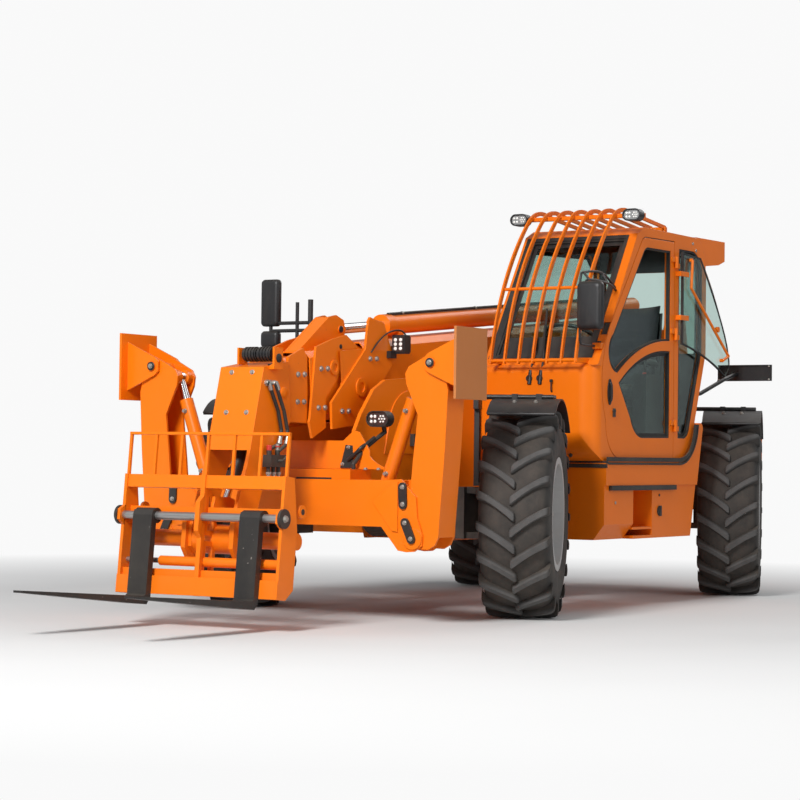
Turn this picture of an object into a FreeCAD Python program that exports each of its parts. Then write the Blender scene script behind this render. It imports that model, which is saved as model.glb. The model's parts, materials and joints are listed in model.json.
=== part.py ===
"""Heavy rigid telehandler: chassis, cab, four-section boom, fork carriage, stabilisers, four steered wheels.

Millimetres. +Z up, +X to the machine's left (the cab's side), -Y to the front.
While a piece is modelled, Y is counted from the front axle and Z from the ground.
"""
import FreeCAD, Part
import math
import os

V = FreeCAD.Vector
X_AXIS = V(1, 0, 0)
Y_AXIS = V(0, 1, 0)
Z_AXIS = V(0, 0, 1)
ORIGIN = V(0, 0, 0)

# Clearances
RUN_FIT = 0.05            # radial clearance of a shaft in its bore
SEAT_GAP = 0.3            # gap where two moving faces slide on each other
MOVE_GAP = 6.0            # gap between moving pieces that never touch

# Wheels and axles
FRONT_AXLE_Y = -565.0     # where the front axle stands in the part's own frame
WHEELBASE = 3200.0
TYRE_RADIUS = 640.0
TYRE_WIDTH = 440.0
LUG_HEIGHT = 36.0
LUG_WIDTH = 62.0
LUG_COUNT = 20            # on each side of the tread
RIM_RADIUS = 330.0
KINGPIN_X = 800.0
KINGPIN_OFFSET = 200.0    # from the kingpin out to the middle of the tread
STEER_REST = 21.0         # degrees, all four wheels turned to the machine's left
SECTORS = 40              # flats round a tyre and a rim
HUB_RADIUS = 120.0
HUB_INNER = 20.0          # hub's face, inboard of the wheel's middle
HUB_OUT = 150.0
YOKE_HALF = 120.0         # half height between the yoke's arms
KINGPIN_RADIUS = 28.0
AXLE_TUBE = 95.0
DIFFERENTIAL = 178.0      # radius of the housing at the middle of an axle
SPINDLE = 45.0            # the wheel turns on this
GUARD_HALF = 210.0        # half its width
GUARD_SWEEP_FRONT = 30.0  # degrees of the mudguard ahead of and behind the axle
GUARD_SWEEP_REAR = 44.0
POST_X = -100.0           # mudguard post, inboard of the kingpin
TRUNNION = 260.0          # half length of the axle's rocking trunnion

# Frame
FRAME_HALF = 300.0        # inner face of each long frame plate
FRAME_PLATE = 25.0
FRAME_LOW = 450.0
FRAME_HIGH = 960.0
CHEEK_TOP = 1495.0        # the side plates rise beside the boom, ahead of the cab
CHEEK_PANEL = 7.0         # a pressed panel stands this proud of each cheek
REAR_PLATE = WHEELBASE + 780.0    # rear face of the frame
REAR_END = REAR_PLATE + 230.0     # of the counterweight
HITCH_Y = REAR_PLATE + 140.0      # towing pin
HITCH_LOW = 470.0
HITCH_PLATE = 25.0
HITCH_BORE = 16.0
FRONT_BEAM_Y = -1110.0    # front face of the stabiliser beam
FRONT_BEAM_DEPTH = 300.0
FRONT_BEAM_HALF = 735.0
FRONT_BEAM_LOW = 575.0
FRONT_BEAM_HIGH = 845.0
BEAM_LEDGE = 60.0

# Boom, drawn level with its pivot at zero, then turned down by its rest angle
BOOM_PIVOT_Y = 3750.0
BOOM_PIVOT_Z = 1900.0
BOOM_REST = 5.5           # degrees below level
BOOM_DROP = 45.0          # centre line below the pivot
BOOM_PIN = 45.0           # pivot pin radius
BOOM_WALL = 8.0
#            half width, half height, rear end, front end: ends are counted forward from the pivot
BOOM_SECTIONS = {
    "outer": (180.0, 240.0, -60.0, 4560.0),
    "two": (152.0, 212.0, 350.0, 4850.0),
    "three": (128.0, 184.0, 550.0, 5050.0),
    "four": (104.0, 158.0, 750.0, 5125.0),
}
STROKE = 3600.0
PAD_BACK = 230.0          # slide pads behind each section's front end
# Side cheeks round the front ends of the sections, as (Y, Z) at rest
OUTER_COLLAR = [(-896, 1143), (-908, 1302), (-532, 1638), (-500, 1815), (-480, 1840), (-439, 1830), (-322, 1815),
                (-189, 1580), (-560, 1225), (-580, 1175)]
OUTER_FRONT = [(-1300, 2100), (-470, 2100), (-530, 1650), (-910, 1305), (-905, 1000), (-1300, 1000)]
TWO_COLLAR = [(-1070, 1086), (-1104, 1183), (-1095, 1205), (-1040, 1631), (-870, 1684), (-710, 1719), (-580, 1655),
              (-930, 1330), (-925, 1150)]
THREE_COLLAR = [(-1277, 1180), (-1300, 1560), (-1142, 1620), (-1100, 1566), (-1090, 1174)]
ROD_EARS = [(-1055, 1596), (-1055, 1612), (-731, 1830), (-647, 1846), (-565, 1820), (-540, 1765), (-560, 1705),
            (-620, 1690), (-800, 1622)]
EAR_COVER = [(-1054, 1597), (-1054, 1611), (-731, 1829), (-722, 1820), (-1036, 1600)]

# Carriage
TILT_PIVOT_Y = -1780.0
TILT_PIVOT_Z = 500.0
TILT_REST = 6.0           # degrees, forks' tips up
TILT_PIN = 48.0
CARRIAGE_HALF = 560.0
CARRIAGE_TOP = 350.0      # above the tilt pivot
CARRIAGE_LOW = -335.0
CARRIAGE_FRONT = -190.0   # ahead of the tilt pivot
FORK_WIDTH = 135.0
FORK_THICK = 45.0
FORK_TIP = -1265.0
FORK_X = 372.0
SHAFT_RADIUS = 24.0
SHAFT_Z = 112.0
SHIFT_BARREL = 28.0       # side-shift cylinder
SHIFT_BACK = 60.0
SHIFT_Z = -140.0
HEAD_HALF = 152.0         # boom head, half width
HEAD_REAR = 5080.0        # its rear face, forward of the boom pivot
TILT_BASE = (-1360.0, 1350.0)
TILT_EYE = (-1730.0, 700.0)
TILT_BARREL = 38.0
TILT_ROD = 22.0

# Cylinders: two pins, radii
LIFT_BASE = (3450.0, 850.0)
LIFT_EYE = (1946.0, 1330.0)
LIFT_BARREL = 85.0
LIFT_ROD = 50.0
EYE_PROUD = 4.0           # a cylinder's eyes are this much wider than its barrel or rod, each side

# Stabilisers
LEG_PIVOT = (888.0, 510.0)
PAD_PIN = (1000.0, 1525.0)
LEG_Y = -1000.0           # middle plane of a leg
LEG_PLATE_IN = 79.0
LEG_PLATE = 16.0
EAR_PLATE = 15.0
LEG_PIN = 30.0
STAB_BASE = (620.0, 760.0)    # X and Z of the cylinder's two pins
STAB_EYE = (870.0, 1460.0)
STAB_BARREL = 42.0
STAB_ROD = 25.0
PAD_OFFSET = 190.0

# Extension cylinder on top of the boom
EXT_RADIUS = 62.0
EXT_ROD = 32.0
EXT_PIN = 20.0
EXT_HIGH = 279.0          # its axis above the boom pivot, along the level boom
EXT_FRONT = 3790.0        # front end of the barrel, forward of the boom pivot
EXT_EYE = 4350.0          # its rod's eye, on the ears of section two

# Windscreen guard
GUARD_FIRST = 430.0
GUARD_PITCH = 103.0
GUARD_DEPTH = 26.0
PANE_FRONT = 1992.0       # front edge of the open upper pane
PLATE_Y = 2995.0          # the black plate on its arm

# Boxes beside the frame
SIDE_FACE = 1165.0
STRIP = 12.0              # thickness of the rubber strip under the cab
LOWER_STRIP = 812.0       # top of the rubber strip along the side
BODY_FRONT = 840.0
BODY_BACK = WHEELBASE - 1100.0    # rear of the step box, ahead of the rear tyre
BODY_SIDE = [(BODY_FRONT, 460.0), (BODY_BACK + 83, 460.0), (BODY_BACK + 253, 1180.0),
             ((BODY_BACK + 250, 1225.0), (BODY_BACK + 210, 1240.0)),
             (BODY_BACK, 1240.0), (BODY_BACK, 965.0), (BODY_FRONT, 965.0)]
STRIP_REACH = [(BODY_FRONT, 900.0), (BODY_BACK, 900.0), (BODY_BACK + 230, 1100.0), (BODY_BACK + 230, 1230.0),
               (BODY_BACK + 50, 1230.0), (1900.0, 990.0), (BODY_FRONT, 990.0)]
TANK_IN = 640.0
HOOD_IN = 470.0

# Cab
CAB_IN = 300.0            # inner side
CAB_OUT = 1140.0          # door side
CAB_NOSE = 705.0          # front of the body under the windscreen
NOSE_ROUND = 115.0        # radius of its outer corner, seen from above
CAB_FRONT = 760.0         # windscreen's foot
CAB_TOP_FRONT = 1330.0    # windscreen's head
CAB_FLOOR = 960.0
CAB_SILL = 1590.0
CAB_WALL = 45.0
DOOR_HINGE_Y = 1915.0     # the door's rear edge
HINGE_HEIGHTS = (1215.0, 1840.0, 2330.0)
HINGE_X = 1154.0          # door hinge axis
HINGE_Y = 1918.0
HINGE_R = 13.0
HINGE_PIN = 7.0
LID_X = -456.0            # hood lid's hinge axis
LID_Z = 1452.0
LID_HINGES = (1050.0, WHEELBASE - 1050.0)
BODY_REAR = WHEELBASE - 800.0     # of the engine's hood


def box(x0, x1, y0, y1, z0, z1):
    return Part.makeBox(x1 - x0, y1 - y0, z1 - z0, V(x0, y0, z0))


def rod_x(radius, x0, x1, y, z):
    return Part.makeCylinder(radius, x1 - x0, V(x0, y, z), X_AXIS)


def rod_y(radius, y0, y1, x, z):
    return Part.makeCylinder(radius, y1 - y0, V(x, y0, z), Y_AXIS)


def rod_z(radius, z0, z1, x, y):
    return Part.makeCylinder(radius, z1 - z0, V(x, y, z0), Z_AXIS)


def rod_between(radius, start, end):
    return Part.makeCylinder(radius, (end - start).Length, start, end - start)


def face_of(points):
    return Part.Face(Part.makePolygon(points + [points[0]]))


def plate_yz(points, x0, x1):
    """Outline in Y and Z, given thickness from x0 to x1."""
    return face_of([V(x0, y, z) for y, z in points]).extrude(V(x1 - x0, 0, 0))


def plate_xz(points, y0, y1):
    return face_of([V(x, y0, z) for x, z in points]).extrude(V(0, y1 - y0, 0))


def plate_xy(points, z0, z1):
    return face_of([V(x, y, z0) for x, y in points]).extrude(V(0, 0, z1 - z0))


def outline_wire(steps, x):
    """Closed outline in the plane X = x: a step is a corner (y, z), or an arc's middle and end, each (y, z)."""
    here = V(x, *steps[0])
    edges = []
    last = steps[-1][1] if isinstance(steps[-1][0], tuple) else steps[-1]
    closing = [] if last == steps[0] else [steps[0]]
    for step in steps[1:] + closing:
        if isinstance(step[0], tuple):
            end = V(x, *step[1])
            edges.append(Part.Arc(here, V(x, *step[0]), end).toShape())
        else:
            end = V(x, *step)
            edges.append(Part.LineSegment(here, end).toShape())
        here = end
    return Part.Wire(edges)


def ring_x(outer, inner, x0, x1, y, z):
    return rod_x(outer, x0, x1, y, z).cut(rod_x(inner, x0 - 1, x1 + 1, y, z))


def pipe(radius, points):
    """Round bar or hose through a row of points, rounded at each turn."""
    parts = [rod_between(radius, a, b) for a, b in zip(points[:-1], points[1:])]
    parts += [Part.makeSphere(radius, p) for p in points[1:-1]]
    return fused(parts)


def fused(shapes):
    whole = shapes[0].multiFuse(shapes[1:]) if len(shapes) > 1 else shapes[0]
    return whole.removeSplitter()


def mirror_x(shape):
    return shape.mirror(ORIGIN, X_AXIS)


def turned(shape, centre, axis, degrees):
    copy = shape.copy()
    copy.rotate(centre, axis, degrees)
    return copy


def lathe(profile, sectors, phase=0.0):
    """Closed solid of flat facets about the X axis; profile is (x, radius), closed on itself."""
    rings = []
    for k in range(sectors):
        angle = math.radians(phase + 360.0 * k / sectors)
        rings.append([V(x, r * math.cos(angle), r * math.sin(angle)) for x, r in profile])
    faces = []
    count = len(profile)
    for k in range(sectors):
        here, after = rings[k], rings[(k + 1) % sectors]
        for i in range(count):
            j = (i + 1) % count
            faces.append(face_of([here[i], here[j], after[j], after[i]]))
    shell = Part.makeShell(faces)
    shell.sewShape()
    solid = Part.makeSolid(shell)
    if solid.Volume < 0:
        solid.reverse()
    return solid


def tyre():
    """Left-hand tyre about the X axis, its tread's lugs pointing down at the front."""
    half = TYRE_WIDTH / 2
    base = TYRE_RADIUS - LUG_HEIGHT
    profile = [(-half + 30, RIM_RADIUS), (-half, RIM_RADIUS + 60), (-half + 2, base - 70), (-half + 55, base),
               (half - 55, base), (half - 2, base - 70), (half, RIM_RADIUS + 60), (half - 30, RIM_RADIUS)]
    carcass = lathe(profile, SECTORS)
    pitch = 360.0 / LUG_COUNT
    lugs = []
    for side in (-1, 1):
        for k in range(LUG_COUNT):
            lugs.append(lug(side, pitch * (k + (0.5 if side > 0 else 0.0))))
    return carcass.multiFuse(lugs)


def lug(side, degrees):
    """One straight bar from the shoulder to just past the middle, slanted round the tread."""
    half = TYRE_WIDTH / 2
    slant = 150.0
    lean = LUG_WIDTH * 0.72
    inner = -18.0 * side
    outer = half * side
    middle = slant / 2
    outline = [(inner, middle - lean / 2), (inner, middle + lean / 2), (outer, -middle + lean),
               (outer, -middle - lean / 2)]
    top = math.sqrt(TYRE_RADIUS ** 2 - (middle + lean / 2) ** 2)
    low = TYRE_RADIUS - LUG_HEIGHT - 55
    bar = face_of([V(x, y, low) for x, y in outline]).extrude(V(0, 0, top - low))
    return turned(bar, ORIGIN, X_AXIS, degrees)


def rim():
    """Dished steel wheel with its hub cap, about the X axis, outside towards +X."""
    half = TYRE_WIDTH / 2
    r = RIM_RADIUS - 0.3
    dish = 40.0
    profile = [(-half + 12, r + 22), (-half + 12, r - 18), (dish - 12, r - 40), (dish - 40, HUB_RADIUS + 60),
               (dish - 40, HUB_RADIUS - 20), (dish - 22, HUB_RADIUS - 20),
               (dish - 22, HUB_RADIUS + 60), (dish + 14, r - 36),
               (half - 12, r - 18), (half - 12, r + 22), (half - 30, r), (-half + 30, r)]
    return lathe(profile, SECTORS)


def hub():
    """Planetary hub: from its face against the knuckle out through the wheel."""
    bore = Part.makeCylinder(SPINDLE + RUN_FIT, HUB_OUT - 30 + HUB_INNER, V(-HUB_INNER, 0, 0), X_AXIS)
    return Part.makeCylinder(HUB_RADIUS, HUB_OUT + HUB_INNER, V(-HUB_INNER, 0, 0), X_AXIS).cut(bore)


NODES = {}


def keep(name, shape):
    moved = shape.copy()
    moved.translate(V(0, FRONT_AXLE_Y, 0))
    NODES[name] = moved


def wheel_place(shape, side, axle_y):
    """Put a left-hand wheel piece, drawn about the X axis at its centre, on its steered kingpin."""
    placed = shape.copy()
    placed.translate(V(KINGPIN_OFFSET, 0, 0))
    if side < 0:
        placed = mirror_x(placed)
    placed.rotate(ORIGIN, Z_AXIS, STEER_REST)
    placed.translate(V(side * KINGPIN_X, axle_y, TYRE_RADIUS))
    return placed


def knuckle():
    """Kingpin, swivel housing, hub carrier and mudguard, kingpin at the origin, wheel towards +X."""
    housing = fused([
        rod_z(70.0, -YOKE_HALF, YOKE_HALF, 0, 0),
        rod_x(92.0, 20.0, KINGPIN_OFFSET - HUB_INNER - SEAT_GAP, 0, 0),
        rod_x(SPINDLE, 20.0, KINGPIN_OFFSET + HUB_OUT - 40, 0, 0),
        box(-40, 60, -60, 60, -100, 100),
        rod_z(KINGPIN_RADIUS, YOKE_HALF - 5, YOKE_HALF + 70, 0, 0),
        box(POST_X - 16, 45, -45, 45, YOKE_HALF + 48, YOKE_HALF + 68),
    ])
    steer_arm = box(-45, 40, -200, -40, -90, -60)
    return fused([housing, steer_arm, mudguard()])


def mudguard():
    """Curved plate over the tread on a bent tube, which stands on the knuckle inside the wheel."""
    radius = TYRE_RADIUS + 62
    outer = radius + 8
    half = GUARD_HALF
    x0 = KINGPIN_OFFSET + 15 - half
    ring = Part.makeCylinder(outer, 2 * half, V(x0, 0, 0), X_AXIS)
    bore = Part.makeCylinder(radius, 2 * half + 2, V(x0 - 1, 0, 0), X_AXIS)
    wide = outer * 1.5
    front, rear = math.radians(GUARD_SWEEP_FRONT), math.radians(GUARD_SWEEP_REAR)
    sector = plate_yz([(0, 0), (-wide * math.sin(front), wide * math.cos(front)),
                       (wide * math.sin(rear), wide * math.cos(rear))], x0 - 2, x0 + 2 * half + 2)
    plate = ring.cut(bore).common(sector)
    tube_z = outer + 14
    parts = [plate]
    for y in (-60.0, 60.0):
        z = math.sqrt(outer ** 2 - y ** 2) + 12
        parts.append(rod_x(14.0, POST_X, KINGPIN_OFFSET + half - 30, y, z))
        for x in (KINGPIN_OFFSET - 60, KINGPIN_OFFSET + 90):
            parts.append(box(x - 18, x + 18, y - 20, y + 20, z - 32, z + 18))
    parts.append(box(POST_X - 16, POST_X + 16, -40, 40, YOKE_HALF + 48, tube_z - 80))
    parts.append(box(POST_X - 16, POST_X + 16, -80, 80, tube_z - 80, tube_z + 12))
    lip_y, lip_z = -outer * math.sin(front), outer * math.cos(front)
    parts.append(rod_x(11.0, x0 + 6, x0 + 2 * half - 6, lip_y, lip_z - 6))
    return fused(parts)


def axle(y):
    """Axle housing with its differential and the yokes that hold the kingpins."""
    tube = rod_x(AXLE_TUBE, -650, 650, y, TYRE_RADIUS)
    bowl = DIFFERENTIAL - 13
    parts = [tube, rod_x(bowl, -60, 60, y, TYRE_RADIUS),
             Part.makeCone(bowl, AXLE_TUBE, 90, V(60, y, TYRE_RADIUS), X_AXIS),
             Part.makeCone(bowl, AXLE_TUBE, 90, V(-60, y, TYRE_RADIUS), V(-1, 0, 0)),
             rod_y(60, y - TRUNNION, y + TRUNNION, 0, TYRE_RADIUS)]
    low, high = YOKE_HALF + SEAT_GAP, YOKE_HALF + 40
    for side in (-1, 1):
        x = side * KINGPIN_X
        x0, x1 = sorted((x - side * 190, x + side * 55))
        parts.append(box(x0, x1, y - 60, y + 60, TYRE_RADIUS + low, TYRE_RADIUS + high))
        parts.append(box(x0, x1, y - 60, y + 60, TYRE_RADIUS - high, TYRE_RADIUS - low))
        x0, x1 = sorted((x - side * 150, x - side * 210))
        parts.append(box(x0, x1, y - 95, y + 95, TYRE_RADIUS - high, TYRE_RADIUS + high))
    housing = fused(parts)
    for side in (-1, 1):
        housing = housing.cut(rod_z(KINGPIN_RADIUS + RUN_FIT, TYRE_RADIUS, TYRE_RADIUS + 200, side * KINGPIN_X, y))
    return housing


def make_wheels():
    left_tyre, left_rim = tyre(), rim().fuse(hub())
    steered = knuckle()
    for end, axle_y in (("front", 0.0), ("rear", WHEELBASE)):
        for side, word in ((1, "left"), (-1, "right")):
            keep("tyre_%s_%s" % (end, word), wheel_place(left_tyre, side, axle_y))
            keep("rim_%s_%s" % (end, word), wheel_place(left_rim, side, axle_y))
            piece = steered if side > 0 else mirror_x(steered)
            piece = turned(piece, ORIGIN, Z_AXIS, STEER_REST)
            piece.translate(V(side * KINGPIN_X, axle_y, TYRE_RADIUS))
            keep("knuckle_%s_%s" % (end, word), piece)
        keep("axle_%s" % end, axle(axle_y))


def frame_plate(x0, x1):
    """One long side plate: low at the middle, up to the boom pivot at the rear."""
    return plate_yz([(FRONT_BEAM_Y + FRONT_BEAM_DEPTH, FRAME_LOW + 130), (-300, FRAME_LOW + 130),
                     (-150, FRAME_LOW + 380), (150, FRAME_LOW + 380), (300, FRAME_LOW),
                     (WHEELBASE - 300, FRAME_LOW), (WHEELBASE - 150, FRAME_LOW + 380),
                     (WHEELBASE + 150, FRAME_LOW + 380), (WHEELBASE + 300, FRAME_LOW), (REAR_PLATE, FRAME_LOW),
                     (REAR_PLATE, 1700), (BOOM_PIVOT_Y + 150, 2060), (BOOM_PIVOT_Y - 150, 2060),
                     (WHEELBASE + 50, 1250), (WHEELBASE - 500, FRAME_HIGH), (CAB_NOSE - 30, FRAME_HIGH),
                     (CAB_NOSE - 30, CHEEK_TOP), (0, CHEEK_TOP - 5),
                     (-510, 1452), (-640, 1390), (-780, 1240), (-850, 1135), (-885, FRONT_BEAM_HIGH + BEAM_LEDGE),
                     (FRONT_BEAM_Y + FRONT_BEAM_DEPTH, FRONT_BEAM_HIGH)], x0, x1)


def cheek_panels():
    """Raised panel with a curved front edge and a slot, pressed on each front cheek."""
    panels = []
    for side in (-1, 1):
        face = FRAME_HALF + FRAME_PLATE + CHEEK_PANEL
        x0, x1 = sorted((side * (FRAME_HALF + FRAME_PLATE - 1), side * face))
        panel = slab([(-520, 1000), (-470, 1190), ((-400, 1320), (-244, 1392)), (250, 1400),
                      (250, 1000)], 0, x0, x1)
        slot = slab([(-292, 1235), ((-281, 1224), (-270, 1235)), (-270, 1325), ((-281, 1336), (-292, 1325))],
                    0, x0 - 2, x1 + 2)
        panels.append(panel.cut(slot))
        x0, x1 = sorted((side * (face - 1), side * (face + 33)))
        panels.append(box(x0, x1, -225, -175, 1050, 1125))
    return panels


def chassis_frame():
    inner, outer = FRAME_HALF, FRAME_HALF + FRAME_PLATE
    parts = [frame_plate(inner, outer), frame_plate(-outer, -inner)]
    parts.append(front_beam())
    for y in (420, 1500, WHEELBASE - 450):
        parts.append(box(-inner, inner, y, y + 30, FRAME_LOW, FRAME_HIGH - 200))
    parts.append(box(-inner, inner, REAR_PLATE - 40, REAR_PLATE, FRAME_LOW, 1500))
    parts.append(rod_x(BOOM_PIN, -inner, inner, BOOM_PIVOT_Y, BOOM_PIVOT_Z))
    for side in (-1, 1):
        x0, x1 = sorted((side * inner, side * (BOOM_SECTIONS["outer"][0] + 50 + SEAT_GAP)))
        parts.append(rod_x(BOOM_PIN + 45, x0, x1, BOOM_PIVOT_Y, BOOM_PIVOT_Z))
        x0, x1 = sorted((side * inner, side * (LIFT_BARREL + EYE_PROUD + SEAT_GAP)))
        parts.append(rod_x(75, x0, x1, *LIFT_BASE))
    parts.append(rod_x(40, -LIFT_BARREL - 15, LIFT_BARREL + 15, *LIFT_BASE))
    for axle_y in (0, WHEELBASE):
        for y in (axle_y - TRUNNION - 30, axle_y + TRUNNION):
            parts.append(box(-inner, inner, y, y + 30, TYRE_RADIUS - 80, TYRE_RADIUS + 90))
    for y in (1000, WHEELBASE - 1000):
        parts.append(box(outer, TANK_IN, y, y + 80, 500, 580))
        parts.append(box(-HOOD_IN, -outer, y, y + 80, 500, 580))
    for z0, z1 in ((HITCH_LOW, HITCH_LOW + HITCH_PLATE), (HITCH_LOW + 85, HITCH_LOW + 85 + HITCH_PLATE)):
        root = REAR_PLATE - 5
        tip = HITCH_Y + 45
        parts.append(plate_xy([(-110, root), (110, root), (55, tip), (-55, tip)], z0, z1))
    parts += cheek_panels()
    return fused(parts).cut(rod_z(HITCH_BORE, HITCH_LOW - 5, HITCH_LOW + 120, 0, HITCH_Y))


def front_beam():
    """Box beam across the front with two ears for each stabiliser."""
    y0, y1 = FRONT_BEAM_Y, FRONT_BEAM_Y + FRONT_BEAM_DEPTH
    parts = [box(-FRONT_BEAM_HALF, FRONT_BEAM_HALF, y0, y1, FRONT_BEAM_LOW, FRONT_BEAM_HIGH),
             box(-420, 420, y0 + 60, y1, FRONT_BEAM_HIGH, FRONT_BEAM_HIGH + BEAM_LEDGE)]
    px, pz = LEG_PIVOT
    bx, bz = STAB_BASE
    slot = STAB_BARREL + 10
    pieces = [fused(parts)]
    for side in (-1, 1):
        x0, x1 = sorted((side * (bx - 110), side * (FRONT_BEAM_HALF + 1)))
        pocket = box(x0, x1, LEG_Y - slot, LEG_Y + slot, bz - 105, FRONT_BEAM_HIGH + 1)
        pieces[0] = pieces[0].cut(pocket)
        near, far = LEG_PLATE_IN + LEG_PLATE + SEAT_GAP, LEG_PLATE_IN + LEG_PLATE + EAR_PLATE
        for y, y_end in ((LEG_Y - far, LEG_Y - near), (LEG_Y + near, LEG_Y + far)):
            lobe = plate_xz([(side * (FRONT_BEAM_HALF - 60), FRONT_BEAM_LOW), (side * 790, pz - 70),
                             (side * (px - 40), pz - 78), (side * (px + 10), pz - 74), (side * (px + 62), pz - 40),
                             (side * (px + 66), pz + 20), (side * (px + 30), pz + 120),
                             (side * (px + 20), pz + 240),
                             (side * (px - 80), FRONT_BEAM_HIGH + 8),
                             (side * (FRONT_BEAM_HALF - 60), FRONT_BEAM_HIGH)], y, y_end)
            pieces.append(lobe)
            y0, y1 = sorted((y, y_end + (8 if y > LEG_Y else -8))) if y > LEG_Y else (y - 8, y_end)
            pieces.append(rod_y(62, y0, y1, side * px, pz))
        for y, y_end in ((LEG_Y - far - 8, LEG_Y - slot), (LEG_Y + slot, LEG_Y + far + 8)):
            pieces.append(rod_y(LEG_PIN, y, y_end, side * px, pz))
        pieces.append(rod_y(26, LEG_Y - slot - 15, LEG_Y + slot + 15, side * bx, bz))
    return fused(pieces)


def in_boom(shape):
    """From the level boom's own place to its rest place."""
    placed = turned(shape, ORIGIN, X_AXIS, BOOM_REST)
    placed.translate(V(0, BOOM_PIVOT_Y, BOOM_PIVOT_Z))
    return placed


def boom_tube(name):
    """One telescope section: a chamfered box tube with its rear and front collars."""
    half_w, half_h, rear, front = BOOM_SECTIONS[name]
    outside = chamfered(half_w, half_h, 40.0, -front, -rear)
    inside = chamfered(half_w - BOOM_WALL, half_h - BOOM_WALL, 40.0 - BOOM_WALL, -front - 1, -rear + 1)
    return outside.cut(inside)


def chamfered(half_w, half_h, corner, y0, y1):
    w, h, c = half_w, half_h, corner
    outline = [(-w, -h + c), (-w + c, -h), (w - c, -h), (w, -h + c), (w, h - c), (w - c, h), (-w + c, h),
               (-w, h - c)]
    return plate_xz([(x, z - BOOM_DROP) for x, z in outline], y0, y1)


def wear_pads(name, inner_name):
    """Four slide pads inside a section's front end, against the section within."""
    half_w, half_h, _, front = BOOM_SECTIONS[name]
    in_w, in_h, _, _ = BOOM_SECTIONS[inner_name]
    y0, y1 = -front + PAD_BACK, -front + PAD_BACK + 160
    pads = []
    for side in (-1, 1):
        x0, x1 = sorted((side * (in_w + SEAT_GAP), side * (half_w - BOOM_WALL / 2)))
        pads.append(box(x0, x1, y0, y1, -110 - BOOM_DROP, 110 - BOOM_DROP))
        z0, z1 = sorted((side * (in_h + SEAT_GAP), side * (half_h - BOOM_WALL / 2)))
        pads.append(box(-70, 70, y0, y1, z0 - BOOM_DROP, z1 - BOOM_DROP))
    return pads


def collar(name, outline):
    """Side cheeks round a section's front end, drawn at rest as (Y, Z)."""
    half_w = BOOM_SECTIONS[name][0]
    cheeks = []
    for side in (-1, 1):
        x0, x1 = sorted((side * (half_w - BOOM_WALL / 2), side * (half_w + 12)))
        cheeks.append(boom_plate(outline, x0, x1))
    return cheeks


def boom_plate(outline, x0, x1):
    """Plate on the level boom from an outline drawn at rest as (Y, Z)."""
    return plate_yz([(-u, v) for u, v in (boom_local(y, z) for y, z in outline)], x0, x1)


def boom_outer():
    half_w = BOOM_SECTIONS["outer"][0]
    bush = rod_x(BOOM_PIN + 40, -half_w - 50, half_w + 50, 0, 0)
    shape = fused([boom_tube("outer"), bush] + wear_pads("outer", "two") + collar("outer", OUTER_COLLAR)
                  + lift_lugs() + ring_bosses("outer", -581, 1404, 58))
    shape = in_boom(shape.cut(rod_x(BOOM_PIN + RUN_FIT, -half_w - 60, half_w + 60, 0, 0)))
    return shape.cut(plate_yz(OUTER_FRONT, -half_w + 1, half_w - 1))


def lift_lugs():
    """Two plates below the outer section that hold the lift cylinder's eye between them."""
    u, v = boom_local(*LIFT_EYE)
    low = -BOOM_SECTIONS["outer"][1] - BOOM_DROP
    plates = []
    for side in (-1, 1):
        x0, x1 = sorted((side * (LIFT_ROD + EYE_PROUD + SEAT_GAP), side * (LIFT_ROD + 34)))
        plates.append(plate_yz([(-u - 200, low + 4), (-u + 200, low + 4), (-u + 60, v - 60), (-u - 60, v - 60)],
                               x0, x1))
    return plates


def boom_local(y, z):
    """Distance forward of the boom pivot and height above it along the level boom."""
    dy, dz = y - BOOM_PIVOT_Y, z - BOOM_PIVOT_Z
    c, s = math.cos(math.radians(BOOM_REST)), math.sin(math.radians(BOOM_REST))
    return -(dy * c + dz * s), -dy * s + dz * c


def boom_point(u, v):
    """Y and Z at rest of a point u forward of the boom pivot and v above it along the level boom."""
    c, s = math.cos(math.radians(BOOM_REST)), math.sin(math.radians(BOOM_REST))
    return BOOM_PIVOT_Y - u * c - v * s, BOOM_PIVOT_Z - u * s + v * c


def boom_two():
    parts = [boom_tube("two")] + wear_pads("two", "three") + collar("two", TWO_COLLAR)
    parts += rod_ears() + ring_bosses("two", -840, 1515, 46)
    return in_boom(fused(parts))


def boom_three():
    parts = [boom_tube("three")] + wear_pads("three", "four") + collar("three", THREE_COLLAR)
    return in_boom(fused(parts))


def head_outline():
    """Boom head seen from the side, in Y and Z at rest."""
    return [boom_point(HEAD_REAR, 120), (-1568, 1492), (-1705, 975), (TILT_PIVOT_Y - 85, TILT_PIVOT_Z + 60),
            (TILT_PIVOT_Y - 85, TILT_PIVOT_Z - 40), (TILT_PIVOT_Y - 40, TILT_PIVOT_Z - 85),
            (TILT_PIVOT_Y + 40, TILT_PIVOT_Z - 85), (TILT_PIVOT_Y + 90, TILT_PIVOT_Z - 20),
            (-1520, 900), boom_point(HEAD_REAR, -230)]


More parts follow.
